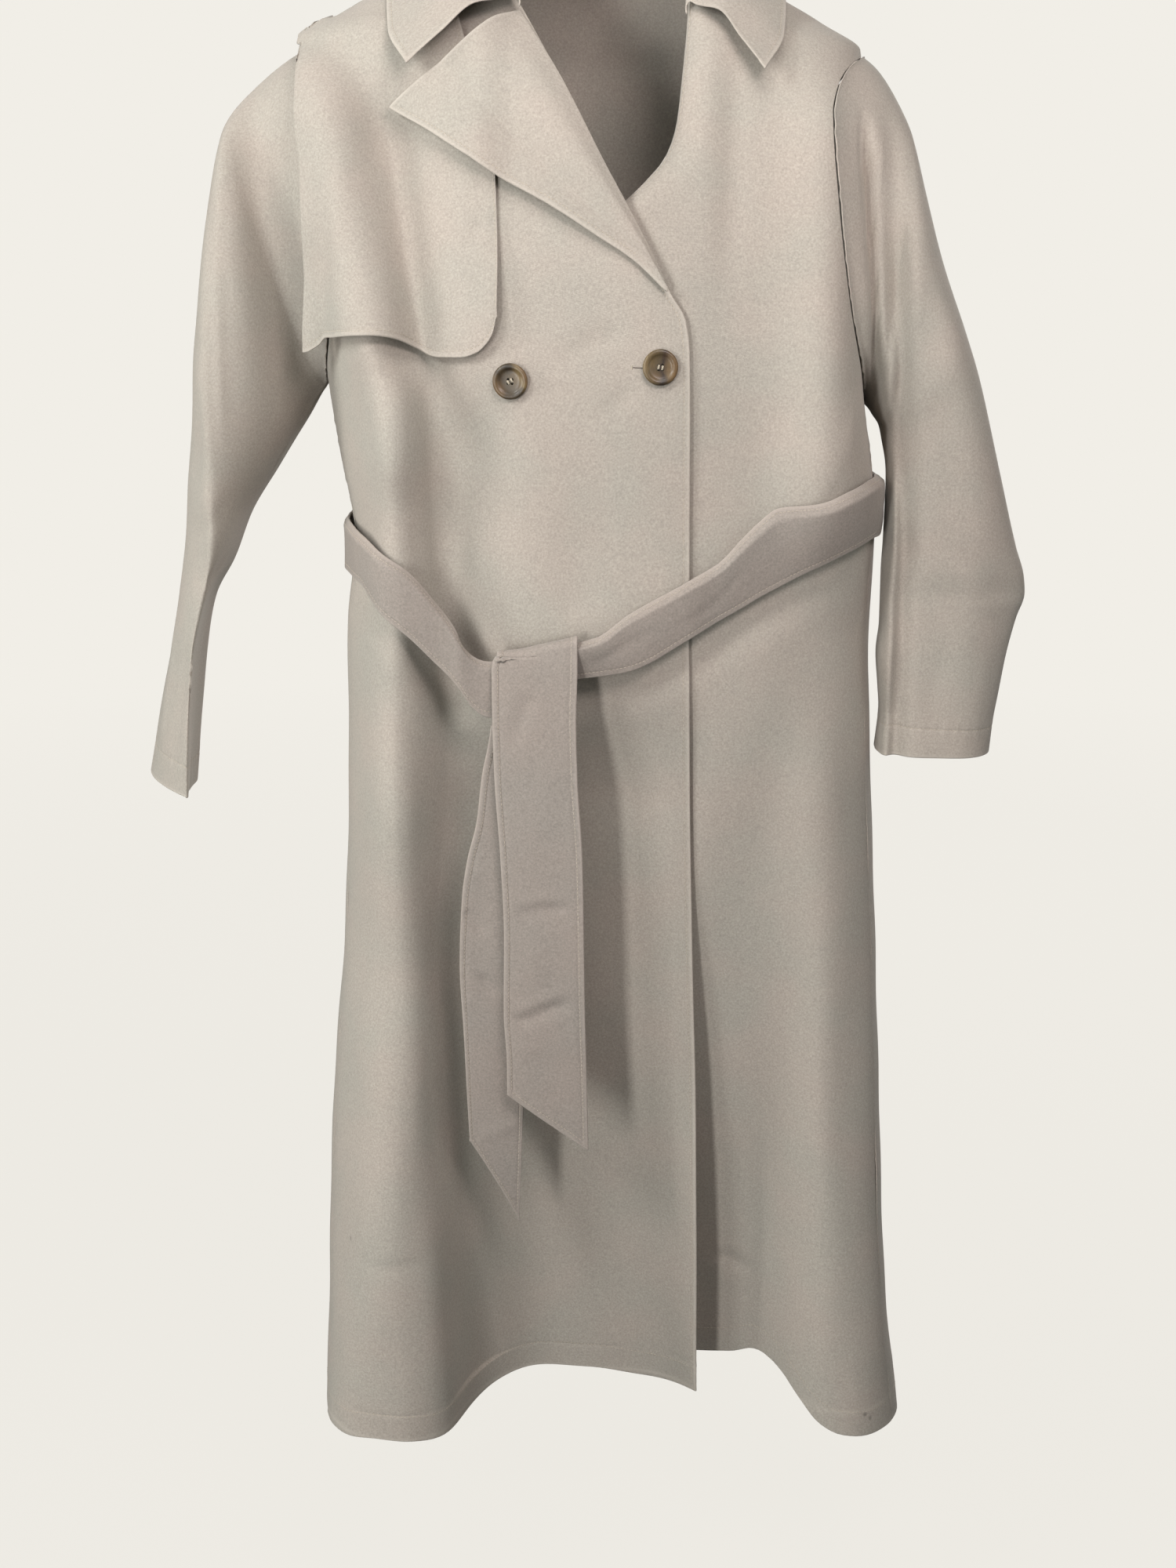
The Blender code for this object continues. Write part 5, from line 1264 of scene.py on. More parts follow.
def collar_piece():
    ts = spread(near=NEAR_EDGE, far=NEAR_EDGE, cells=150)(0.62)
    ws = spread(far=NEAR_EDGE, cells=40)
    fine = collar_grid(ts, np.linspace(0, 1, 121))
    P = np.array([wide_even(c, ws) for c in fine])
    N = face_normals(P)
    across, down = runs(P, 1), runs(P, 0)
    d_edge = across[:, -1:] - across
    d_end = np.minimum(down, down[-1:] - down)
    sew = np.minimum(d_edge, np.where(across > 0.035, d_end, 1.0))
    push = stitched(sew) + ripple(P[..., 0] * 1.3, P[..., 1] * 1.3, 0.00025, 8) * smooth(0, 0.02, across)
    thick = LIMP + (FOLDED - LIMP) * (1 - smooth(0.004, 0.010, d_edge))
    P = P + N * push[..., None]
    N = face_normals(P)
    piece = shell("collar_cloth", P, N, thick, edge_highlight=painted_edge_highlight(d_edge, d_end))
    made["collar"] = (piece, P, N)
    stitching["collar"] = [line_at(P, N, "last", 0.004, (0.006, 0.006))]
    return piece


# creases of the sash: along it (mm from its end behind the knot, coming from the right) and across it
def belt_piece():
    ts = np.linspace(0, 1, 420)
    ws = spread(near=NEAR_EDGE, far=NEAR_EDGE, cells=16)
    fine = belt_grid(ts, np.linspace(0, 1, 61))
    P = np.array([wide_even(c, ws) for c in fine])
    return P


def LEAN(along):
    """How strongly the sash is rolled: most on its way from the right side, less on the left."""
    total = along[..., -1:].max()
    t = along / total
    return 0.45 + 0.55 * (1 - smooth(0.24, 0.40, t)) + 0.15 * smooth(0.75, 0.9, t)


def belt_cloth():
    ts = np.linspace(0, 1, 420)
    fine = belt_grid(ts, np.linspace(0, 1, 61)).transpose(1, 0, 2)
    ws = spread(near=NEAR_EDGE, far=NEAR_EDGE, cells=16)
    P = np.array([wide_even(c, ws) for c in fine]).transpose(1, 0, 2)
    N = face_normals(P)
    along, across = runs(P, 1), runs(P, 0)
    d_edge = np.minimum(across, across[-1:] - across)
    width = across[-1:]
    f = across / width
    push = stitched(d_edge, depth=0.00016, puff=0.00006)
    # its upper edge rolls over and its face leans in below the roll
    roll = 1 - np.clip(f / 0.15, 0, 1)
    rolled = 0.0048 * (1 - f) * smooth(0.0, 0.12, f) - 0.0030 * roll ** 2
    push += rolled * LEAN(along) + 0.0008 * np.sin(pi * f)
    fold = crease_push(CREASES_BELT, along, -across)
    push += -fold + seam_pucker(d_edge - 0.004, along, 0.00010, 0.005)
    P = P + N * push[..., None]
    N = face_normals(P)
    piece = shell("belt_loop_cloth", P, N, SASH, edge_highlight=painted_edge_highlight(d_edge))
    made["belt_loop"] = (piece, P, N)
    stitching["belt_loop"] = [line_at(P, N, "top", 0.004), line_at(P, N, "low", 0.004)]
    return piece


CREASES_BELT = table(CREASE,
    (20,  -14,   60, -20,  110, -24,  0.7, 5, 7, 0.3, 0.5),
    (90,  -30,  140, -28,  190, -18,  0.6, 5, 6, 0.5, 0.4),
    (300, -20,  360, -26,  430, -24,  0.6, 6, 7, 0.4, 0.4),
    (520, -26,  600, -22,  680, -26,  0.6, 6, 7, 0.4, 0.4),
    (760, -18,  820, -24,  870, -30,  0.8, 5, 6, 0.4, 0.3),
)


def tail_cloth(which):
    us = spread(near=NEAR_EDGE, far=NEAR_EDGE, cells=14)
    fine = np.linspace(0, 1, 41)
    if which == "front":
        G = turned_tail(TAIL_FRONT, fine, n_turn=20, n_down=150)
    else:
        G = tail_grid(TAIL_REAR, fine, np.linspace(0, 1, 160), -0.592, -0.946, -1.021)
    P = np.array([wide_even(g, us) for g in G])
    down = runs(P, 0)
    L = down[-1].min()
    N = face_normals(P)
    across = runs(P, 1)
    down = runs(P, 0)
    d_side = np.minimum(across, across[:, -1:] - across)
    d_end = (down[-1:] - down)
    slant = 0.80 if which == "front" else 0.72
    d_cut = d_end * slant
    sew = np.minimum(d_side, d_cut)
    f = across / across[:, -1:]
    push = stitched(sew, at=0.0048, depth=0.00034, puff=0.00012) + 0.0006 * np.sin(pi * f)
    tab = CREASES_TAIL_FRONT if which == "front" else CREASES_TAIL_REAR
    front_face = np.ones(P.shape[:2], bool)
    if which == "front":
        front_face = (np.arange(len(P)) >= 21)[:, None] & front_face
    push -= crease_push(tab, P[..., 0], P[..., 2]) * front_face
    push += ripple(P[..., 0], P[..., 2], 0.0003, 9 if which == "front" else 11)
    P = P + N * push[..., None]
    N = face_normals(P)
    name = "belt_tail_" + which
    piece = shell(name + "_cloth", P, N, SASH, edge_highlight=painted_edge_highlight(d_side, d_cut))
    made[name] = (piece, P, N)
    stitching[name] = [line_at(P, N, "first", 0.004, (0.0, 0.004)), line_at(P, N, "last", 0.004, (0.0, 0.004)),
                       line_at(P, N, "low", 0.005, (0.004, 0.004))]
    return piece


CREASES_TAIL_FRONT = table(CREASE,
    (-59, -837,  -42, -828,  -12, -815,  1.9, 3.5, 6, 0.15, 0.2),   # sharp crease across, low
    (-58, -829,  -42, -820,  -12, -806, -0.9, 5, 4, 0.2, 0.2),      # lit ridge above it
    (-61, -746,  -36, -738,  -12, -738,  1.3, 3.5, 9, 0.2, 0.3),    # crease across, half way
    (-56, -738,  -36, -731,  -14, -730, -0.5, 5, 4, 0.3, 0.3),
    (-44, -562,  -52, -585,  -60, -610,  1.3, 6, 7, 0.2, 0.4),      # soft trough below the knot
    (-30, -600,  -34, -650,  -40, -700, -0.8, 10, 12, 0.4, 0.4),
    (-50, -760,  -44, -785,  -46, -812, -0.7, 10, 10, 0.4, 0.4),
    (-56, -858,  -36, -872,  -14, -880,  0.5, 8, 10, 0.4, 0.4),
)
CREASES_TAIL_REAR = table(CREASE,
    (-80, -640,  -86, -760,  -84, -900,  0.8, 8, 10, 0.4, 0.4),
    (-98, -742,  -91, -754,  -82, -766,  1.3, 4, 7, 0.2, 0.3),
    (-88, -799,  -79, -807,  -69, -817,  1.3, 4, 7, 0.2, 0.3),
    (-94, -948,  -74, -937,  -52, -929, -0.9, 4, 5, 0.2, 0.2),
    (-98, -690,  -94, -700,  -86, -708,  0.8, 5, 7, 0.3, 0.4),
)

front("left")
front("right")
back_piece()
sleeve_piece("left")
sleeve_piece("right")
flap_piece()
lapel_piece()
collar_piece()
belt_cloth()
tail_cloth("front")
tail_cloth("rear")
# ================================================================ the studio's lights
AMBIENT = 0.10
LIGHTS = (
    ("window", (-1.05, -2.10, -0.70), (0.0, 0.0, -0.70), (0.25, 1.3), 24.0, (1.0, 1.0, 1.0)),
    ("left", (-2.20, -0.65, -0.20), (0.0, 0.0, -0.55), (0.5, 1.6), 26.0, (1.0, 1.0, 0.98)),
    ("high", (0.42, -1.15, 0.28), (0.15, 0.0, -0.35), (0.5, 0.3), 8.3, (1.0, 0.90, 0.90)),
    ("high_left", (-0.90, -0.95, 0.30), (0.0, 0.0, -0.20), (0.3, 0.4), 9.6, (0.97, 1.0, 1.0)),
    ("above", (0.10, -0.80, 0.85), (0.05, -0.05, -0.20), (0.7, 0.4), 7.0, (1.0, 0.97, 0.95)),
    ("right", (1.70, -1.30, -0.30), (0.1, 0.0, -0.60), (1.0, 1.6), 6.5, (0.98, 1.0, 0.99)),
    ("rear", (0.9, 2.2, 0.3), (0.0, 0.0, -0.60), (1.4, 1.6), 34.0, (1.0, 0.99, 0.97)),
)

# ================================================================ buttons
BUTTON_R, BUTTON_H = 0.0134, 0.0042
HOLE_R, HOLE_AT = 0.00105, 0.0021


def button_piece(name, x, z, turn):
    """A turned button: raised rim, dished middle, four drilled holes, on a wound thread shank."""
    r, h = BUTTON_R, BUTTON_H
    line = table("f h", (0, 60), (16, 60), (30, 60.5), (44, 62), (56, 66), (64, 74), (70, 86), (75, 95), (81, 99.5), (87, 100),
                 (92, 96), (96, 87), (99, 72), (100, 55), (98.5, 38), (95, 24), (88, 13), (76, 5), (58, 1), (36, 0), (0, 0))
    seg = 96
    pts = [(r * f / 100, h * q / 100) for f, q in zip(line["f"], line["h"])]
    # a rounder profile between the turned sizes
    t = np.arange(len(pts))
    fine = np.linspace(0, len(pts) - 1, 70)
    pr = np.interp(fine, t, [p[0] for p in pts])
    pz = np.interp(fine, t, [p[1] for p in pts])
    for _ in range(2):
        pr[1:-1] = (pr[:-2] + 2 * pr[1:-1] + pr[2:]) / 4
        pz[1:-1] = (pz[:-2] + 2 * pz[1:-1] + pz[2:]) / 4
    bm = bmesh.new()
    rings = []
    for a, b in zip(pr, pz):
        if a < 1e-6:
            rings.append([bm.verts.new((0, 0, b))])
        else:
            rings.append([bm.verts.new((a * math.cos(2 * pi * k / seg), a * math.sin(2 * pi * k / seg), b)) for k in range(seg)])
    for up, low in zip(rings[:-1], rings[1:]):
        for k in range(seg):
            j = (k + 1) % seg
            if len(up) == 1:
                bm.faces.new((up[0], low[k], low[j]))
            elif len(low) == 1:
                bm.faces.new((up[k], low[0], up[j]))
            else:
                bm.faces.new((up[k], low[k], low[j], up[j]))
    mesh = bpy.data.meshes.new(name)
    bm.to_mesh(mesh)
    bm.free()
    piece = bpy.data.objects.new(name, mesh)
    bpy.context.scene.collection.objects.link(piece)
    bm = bmesh.new()
    for i in range(4):
        ang = pi / 4 + i * pi / 2
        m = bmesh.ops.create_cone(bm, cap_ends=True, segments=24, radius1=HOLE_R, radius2=HOLE_R * 1.0, depth=0.014)
        bmesh.ops.translate(bm, verts=m["verts"], vec=(HOLE_AT * math.cos(ang), HOLE_AT * math.sin(ang), 0.002))
    cut_mesh = bpy.data.meshes.new(name + "_cut")
    bm.to_mesh(cut_mesh)
    bm.free()
    cutter = bpy.data.objects.new(name + "_cut", cut_mesh)
    bpy.context.scene.collection.objects.link(cutter)
    mod = piece.modifiers.new("holes", "BOOLEAN")
    mod.operation = "DIFFERENCE"
    mod.object = cutter
    graph = bpy.context.evaluated_depsgraph_get()
    drilled = bpy.data.meshes.new_from_object(piece.evaluated_get(graph))
    piece.modifiers.clear()
    piece.data = drilled
    bpy.data.objects.remove(cutter, do_unlink=True)
    drilled.shade_smooth()
    drilled.set_sharp_from_angle(angle=math.radians(50))
    # it faces out of the front and stands on its thread shank
    flat = lambda lift: moved_out(np.array([x]), np.array([z]), np.array([lift]), top_front_y)[0]
    at, out = flat(0.0009), flat(0.0009) - flat(0.0)
    spin = Vector(out.tolist()).to_track_quat("Z", "Y")
    from_shape = spin.to_matrix().to_4x4()
    for i in range(3):
        from_shape[i][3] = float(at[i])
    drilled.transform(from_shape)
    # threads through the holes, and the wound shank under it
    verts, faces, count = [], [], 0

    def tube(path, radius, ring=8):
        nonlocal count
        path = np.array(path)
        tang = np.gradient(path, axis=0)
        tang /= np.linalg.norm(tang, axis=1, keepdims=True)
        side = np.cross(tang, np.array([0.3, 0.9, 0.2]))
        side /= np.linalg.norm(side, axis=1, keepdims=True)
        up = np.cross(side, tang)
        radius = np.broadcast_to(radius, len(path))
        q = 2 * pi * np.arange(ring) / ring
        block = path[:, None] + radius[:, None, None] * (np.cos(q)[None, :, None] * side[:, None] + np.sin(q)[None, :, None] * up[:, None])
        verts.append(block.reshape(-1, 3))
        for s in range(len(path) - 1):
            for k in range(ring):
                j = (k + 1) % ring
                faces.append((count + s * ring + k, count + s * ring + j, count + (s + 1) * ring + j, count + (s + 1) * ring + k))
        for s, order in ((0, -1), (len(path) - 1, 1)):
            ringv = [count + s * ring + k for k in range(ring)][::order]
            for k in range(1, ring // 2):
                faces.append((ringv[0], ringv[k * 2 - 1], ringv[k * 2], ringv[min(k * 2 + 1, ring - 1)]))
        count += len(path) * ring

    top = h * 0.605
    for sgn in (-1, 1):
        for strand in range(5):
            off = (strand - 2) * 0.00026
            lift = 0.00018 * math.cos((strand - 2) * 0.7)
            hx = sgn * HOLE_AT * 0.7071 + off
            ys = np.linspace(-1, 1, 13) * HOLE_AT * 0.7071 * 1.02
            path = [(hx * 1.0, ys[0], top - 0.0014)] + [(hx, y, top + 0.00012 + lift + 0.00042 * math.cos(pi / 2 * y / ys[-1])) for y in ys] + [(hx, ys[-1], top - 0.0014)]
            tube(path, 0.00017)
    rot = np.array(spin.to_matrix())
    shank = [(0, 0, -0.0009), (0, 0, 0.0004), (0, 0, 0.0012)]
    tube([(p[0] + 1e-5 * i, p[1], p[2]) for i, p in enumerate(shank)], np.array([0.0017, 0.0014, 0.0016]), 16)
    allv = np.concatenate(verts)
    spun = allv.copy()
    c, s = math.cos(turn), math.sin(turn)
    spun[:, 0], spun[:, 1] = allv[:, 0] * c - allv[:, 1] * s, allv[:, 0] * s + allv[:, 1] * c
    allv = spun @ rot.T + at
    mesh = bpy.data.meshes.new(name + "_thread")
    mesh.from_pydata(allv.tolist(), [], [f if len(set(f)) == 4 else tuple(dict.fromkeys(f)) for f in faces])
    mesh.validate()
    mesh.shade_smooth()
    thread = bpy.data.objects.new(name + "_thread", mesh)
    bpy.context.scene.collection.objects.link(thread)
    return piece, thread, at, np.array(spin.to_matrix())


# ================================================================ materials
def nodes_of(name):
    m = bpy.data.materials.new(name)
    m.use_nodes = True
    t = m.node_tree
    return m, t, t.nodes["Principled BSDF"]


def add(t, kind, where=(0, 0), **values):
    n = t.nodes.new(kind)
    n.location = where
    for k, v in values.items():
        if hasattr(n, k):
            setattr(n, k, v)
        else:
            n.inputs[k.replace("_", " ")].default_value = v
    return n


def mix_rgb(t, fac, a, b, blend="MIX"):
    n = t.nodes.new("ShaderNodeMix")
    n.data_type = "RGBA"
    n.blend_type = blend
    for socket, value in ((0, fac), (6, a), (7, b)):
        if isinstance(value, bpy.types.NodeSocket):
            t.links.new(value, n.inputs[socket])
        elif socket == 0:
            n.inputs[0].default_value = value
        else:
            n.inputs[socket].default_value = (*value, 1)
    return n.outputs[2]


def ramp(t, fac, *stops):
    n = t.nodes.new("ShaderNodeValToRGB")
    t.links.new(fac, n.inputs[0])
    e = n.color_ramp.elements
    while len(e) < len(stops):
        e.new(0.5)
    for el, (p, col) in zip(e, stops):
        el.position = p
        el.color = (*((col,) * 3 if isinstance(col, (int, float)) else col), 1)
    return n.outputs[0]


def maths(t, op, a, b=0.0, clamp=False):
    n = t.nodes.new("ShaderNodeMath")
    n.operation = op
    n.use_clamp = clamp
    for i, v in enumerate((a, b)):
        if isinstance(v, bpy.types.NodeSocket):
            t.links.new(v, n.inputs[i])
        else:
            n.inputs[i].default_value = v
    return n.outputs[0]


def linear(r, g, b):
    """Linear colour from ordinary 0 to 255 sizes."""
    f = lambda v: (v / 255 / 12.92) if v / 255 <= 0.04045 else ((v / 255 + 0.055) / 1.055) ** 2.4
    return f(r), f(g), f(b)


def gabardine(name, base, warm, cool, grain=1.0, twill_turn=1.11, marks=()):
    """Cotton gabardine: steep fine twill, a soft uneven yarn, faint mottling and a painted highlight along its edges.
    """
    m, t, shader = nodes_of(name)
    uv = add(t, "ShaderNodeUVMap", (-1500, 0))
    uv.uv_map = "cloth"
    place = add(t, "ShaderNodeTexCoord", (-1500, -400))
    turn = add(t, "ShaderNodeMapping", (-1300, 200))
    turn.inputs["Rotation"].default_value = (0, 0, twill_turn)
    t.links.new(uv.outputs[0], turn.inputs[0])
    rib = add(t, "ShaderNodeTexWave", (-1100, 300), wave_type="BANDS", bands_direction="X", wave_profile="SIN")
    rib.inputs["Scale"].default_value = 1 / 0.00062 / 6.2832 * 2.0
    rib.inputs["Distortion"].default_value = 0.9
    rib.inputs["Detail"].default_value = 1.5
    rib.inputs["Detail Scale"].default_value = 1.4
    t.links.new(turn.outputs[0], rib.inputs["Vector"])
    # yarn: short uneven threads, longer down the cloth than across
    yarn_map = add(t, "ShaderNodeMapping", (-1300, -100))
    yarn_map.inputs["Scale"].default_value = (1500, 520, 1)
    t.links.new(uv.outputs[0], yarn_map.inputs[0])
    yarn = add(t, "ShaderNodeTexNoise", (-1100, -100))
    yarn.inputs["Scale"].default_value = 1.0
    yarn.inputs["Detail"].default_value = 2.0
    t.links.new(yarn_map.outputs[0], yarn.inputs["Vector"])
    weft_map = add(t, "ShaderNodeMapping", (-1300, -350))
    weft_map.inputs["Scale"].default_value = (420, 1100, 1)
    t.links.new(uv.outputs[0], weft_map.inputs[0])
    weft = add(t, "ShaderNodeTexNoise", (-1100, -350))
    weft.inputs["Scale"].default_value = 1.0
    weft.inputs["Detail"].default_value = 2.0
    t.links.new(weft_map.outputs[0], weft.inputs["Vector"])
    grain_noise = add(t, "ShaderNodeTexNoise", (-1100, -600))
    grain_noise.inputs["Scale"].default_value = 620.0
    grain_noise.inputs["Detail"].default_value = 3.0
    grain_noise.inputs["Roughness"].default_value = 0.65
    t.links.new(place.outputs["Object"], grain_noise.inputs["Vector"])
    broad = add(t, "ShaderNodeTexNoise", (-1100, -850))
    broad.inputs["Scale"].default_value = 17.0
    broad.inputs["Detail"].default_value = 2.0
    t.links.new(place.outputs["Object"], broad.inputs["Vector"])
    # colour
    tone = mix_rgb(t, ramp(t, broad.outputs[0], (0.34, 0.0), (0.66, 1.0)), warm, cool)
    tone = mix_rgb(t, 0.55, base, tone)
    speck = ramp(t, grain_noise.outputs[0], (0.30, 1 - 0.28 * grain), (0.70, 1.0))
    tone = mix_rgb(t, 1.0, tone, speck, "MULTIPLY")
    thread = ramp(t, yarn.outputs[0], (0.30, 1 - 0.07 * grain), (0.70, 1.0))
    tone = mix_rgb(t, 1.0, tone, thread, "MULTIPLY")
    cross = ramp(t, weft.outputs[0], (0.30, 1 - 0.05 * grain), (0.70, 1.0))
    tone = mix_rgb(t, 1.0, tone, cross, "MULTIPLY")
    rib_tone = ramp(t, rib.outputs[1], (0.0, 0.93), (1.0, 1.0))
    tone = mix_rgb(t, 1.0, tone, rib_tone, "MULTIPLY")
    # painted highlight: the edges are painted paler, unevenly, as if they caught the light
    edge_highlight = add(t, "ShaderNodeAttribute", (-1100, 600), attribute_name="edge_highlight")
    highlight_tone = tuple(min(1.0, c * 1.10) for c in base)
    highlight_amount = maths(t, "MULTIPLY", edge_highlight.outputs["Fac"], ramp(t, broad.outputs[0], (0.3, 0.25), (0.7, 0.6)))
    tone = mix_rgb(t, highlight_amount, tone, highlight_tone)
    if marks:
        # small stains on the front
        at = add(t, "ShaderNodeSeparateXYZ", (-900, -1100))
        t.links.new(place.outputs["Object"], at.inputs[0])
        front = maths(t, "LESS_THAN", at.outputs["Y"], 0.0)
        for x, z, rx, rz, dark in marks:
            dx = maths(t, "MULTIPLY_ADD", at.outputs["X"], 1 / (rx * MM))
            dx.node.inputs[2].default_value = -x / rx
            dz = maths(t, "MULTIPLY_ADD", at.outputs["Z"], 1 / (rz * MM))
            dz.node.inputs[2].default_value = -z / rz
            far = maths(t, "ADD", maths(t, "MULTIPLY", dx, dx), maths(t, "MULTIPLY", dz, dz))
            near = maths(t, "MULTIPLY", maths(t, "SUBTRACT", 1.0, far, clamp=True), dark)
            tone = mix_rgb(t, maths(t, "MULTIPLY", near, front), tone, tuple(c * 0.32 for c in base))
    t.links.new(tone, shader.inputs["Base Color"])
    # surface
    height = maths(t, "ADD", maths(t, "MULTIPLY", rib.outputs[1], 0.6), maths(t, "MULTIPLY", yarn.outputs[0], 0.5))
    height = maths(t, "ADD", height, maths(t, "MULTIPLY", grain_noise.outputs[0], 0.9))
    bump = add(t, "ShaderNodeBump", (-200, -300))
    bump.inputs["Strength"].default_value = 0.55
    bump.inputs["Distance"].default_value = 0.00016
    t.links.new(height, bump.inputs["Height"])
    t.links.new(bump.outputs[0], shader.inputs["Normal"])
    rough = ramp(t, grain_noise.outputs[0], (0.3, 0.80), (0.7, 0.92))
    t.links.new(rough, shader.inputs["Roughness"])
    shader.inputs["Specular IOR Level"].default_value = 0.25
    shader.inputs["Sheen Weight"].default_value = 0.22
    shader.inputs["Sheen Roughness"].default_value = 0.45
    shader.inputs["Sheen Tint"].default_value = (0.95, 0.93, 0.88, 1)
    return m


def thread_material(name, colour):
    m, t, shader = nodes_of(name)
    place = add(t, "ShaderNodeTexCoord")
    twist = add(t, "ShaderNodeTexNoise")
    twist.inputs["Scale"].default_value = 2600.0
    t.links.new(place.outputs["Object"], twist.inputs["Vector"])
    tone = mix_rgb(t, ramp(t, twist.outputs[0], (0.3, 0.0), (0.7, 1.0)), tuple(c * 0.85 for c in colour), tuple(min(1, c * 1.08) for c in colour))
    t.links.new(tone, shader.inputs["Base Color"])
    bump = add(t, "ShaderNodeBump")
    bump.inputs["Strength"].default_value = 0.4
    bump.inputs["Distance"].default_value = 0.00006
    t.links.new(twist.outputs[0], bump.inputs["Height"])
    t.links.new(bump.outputs[0], shader.inputs["Normal"])
    shader.inputs["Roughness"].default_value = 0.6
    shader.inputs["Sheen Weight"].default_value = 0.2
    return m


def horn(name, centre, turn, bands, spots):
    """Horn-look resin: long streaks across the button, cloudy depth, a polished coat."""
    m, t, shader = nodes_of(name)
    place = add(t, "ShaderNodeTexCoord", (-1600, 0))
    local = add(t, "ShaderNodeMapping", (-1400, 0), vector_type="POINT")
    local.inputs["Location"].default_value = tuple(-c for c in centre)
    t.links.new(place.outputs["Object"], local.inputs[0])
    spin = add(t, "ShaderNodeMapping", (-1200, 0))
    spin.inputs["Rotation"].default_value = (0, turn, 0)
    t.links.new(local.outputs[0], spin.inputs[0])
    warp = add(t, "ShaderNodeTexNoise", (-1200, -300))
    warp.inputs["Scale"].default_value = 110.0
    warp.inputs["Detail"].default_value = 3.0
    t.links.new(local.outputs[0], warp.inputs["Vector"])
    apart = add(t, "ShaderNodeSeparateXYZ", (-1000, 0))
    t.links.new(spin.outputs[0], apart.inputs[0])
    # across the streaks, from 0 to 1 over the button
    across = maths(t, "MULTIPLY_ADD", apart.outputs["X"], 1 / (2 * BUTTON_R))
    t.nodes[-1].inputs[2].default_value = 0.5
    bent = maths(t, "ADD", across, maths(t, "MULTIPLY", maths(t, "SUBTRACT", warp.outputs[0], 0.5), 0.42))
    tone = ramp(t, bent, *bands)
    fine_map = add(t, "ShaderNodeMapping", (-1000, -500))
    fine_map.inputs["Scale"].default_value = (1900, 400, 260)
    t.links.new(spin.outputs[0], fine_map.inputs[0])
    fine = add(t, "ShaderNodeTexNoise", (-800, -500))
    fine.inputs["Scale"].default_value = 1.0
    fine.inputs["Detail"].default_value = 4.0
    t.links.new(fine_map.outputs[0], fine.inputs["Vector"])
    tone = mix_rgb(t, 1.0, tone, ramp(t, fine.outputs[0], (0.32, 0.70), (0.70, 1.12)), "MULTIPLY")
    for (sx, sz, size, colour, strength) in spots:
        off = add(t, "ShaderNodeMapping", (-800, -900))
        off.inputs["Location"].default_value = (-(centre[0] + sx * MM), 0, -(centre[2] + sz * MM))
        off.inputs["Scale"].default_value = (1, 0, 1)
        t.links.new(place.outputs["Object"], off.inputs[0])
        length = add(t, "ShaderNodeVectorMath", (-600, -900), operation="LENGTH")
        t.links.new(off.outputs[0], length.inputs[0])
        fac = ramp(t, maths(t, "DIVIDE", length.outputs["Value"], size * MM), (0.25, strength), (1.0, 0.0))
        tone = mix_rgb(t, fac, tone, colour)
    t.links.new(tone, shader.inputs["Base Color"])
    shader.inputs["Roughness"].default_value = 0.42
    shader.inputs["Coat Weight"].default_value = 0.10
    shader.inputs["Coat Roughness"].default_value = 0.18
    shader.inputs["Subsurface Weight"].default_value = 0.0
    bump = add(t, "ShaderNodeBump", (-200, -300))
    bump.inputs["Strength"].default_value = 0.12
    bump.inputs["Distance"].default_value = 0.0002
    t.links.new(fine.outputs[0], bump.inputs["Height"])
    t.links.new(bump.outputs[0], shader.inputs["Normal"])
    return m


STONE = linear(182, 174, 163)
COAT_WARM = linear(186, 174, 162)
COAT_COOL = linear(177, 172, 160)
STAINS = ((244, -1214, 2.6, 2.2, 0.75), (249, -1219, 2.0, 2.8, 0.6), (-201, -1035, 1.1, 2.6, 0.6))
coat_cloth = gabardine("gabardine", STONE, COAT_WARM, COAT_COOL, marks=STAINS)
# painted shade: the belt and tails are the coat's own cloth, given a darker copy of its colours that stands in for the
# shade on them
shaded_sash_cloth = gabardine("gabardine_sash_painted_shade", linear(164, 154, 145), linear(167, 155, 145), linear(159, 152, 143), grain=1.05)
coat_thread = thread_material("thread_beige", linear(182, 170, 152))
button_thread = thread_material("thread_light", linear(176, 166, 146))

for key, (piece, P, N) in made.items():
    piece.data.materials.append(shaded_sash_cloth if key.startswith("belt") else coat_cloth)

parts = {}
for key, lines in stitching.items():
    tie = threads(key + "_stitching", lines)
    tie.data.materials.append(coat_thread)
    parts[key] = [tie]


def on_cloth(key, xs, zs):
    """Points of a sheet's outer face and its normals there, in millimetres across and up."""
    Q, M = made[key][1].reshape(-1, 3), made[key][2].reshape(-1, 3)
    pts, nrm = [], []
    for x, z in zip(xs, zs):
        d = np.hypot(Q[:, 0] - x * MM, Q[:, 2] - z * MM)
        k = np.argsort(d)[:4]
        w = 1 / (d[k] + 1e-5)
        w /= w.sum()
        pts.append((x * MM, (Q[k, 1] * w).sum(), z * MM))
        nrm.append((M[k] * w[:, None]).sum(0))
    return np.array(pts), np.array(nrm)


# the free buttonhole beside the left button: its slit, drawn as a row of dark threads that stand in for the shade in
# the opening (painted shade), and the light tack at its end
along = np.linspace(33.5, 42.5, 19)
shaded_slit = threads("buttonhole_slit_painted_shade", [on_cloth("front_right", along, -318 - 0.06 * (along - 33.5))], pitch=0.0009, length=0.0014, width=0.0009, high=0.00012)
shaded_slit.data.materials.append(thread_material("painted_shade_slit_thread", linear(84, 74, 64)))
tack = threads("buttonhole_tack", [on_cloth("front_right", np.full(7, 32.8), np.linspace(-316.6, -319.6, 7))], pitch=0.0007, length=0.0010, width=0.0009, high=0.0002)
tack.data.materials.append(button_thread)
parts["front_right"] += [shaded_slit, tack]

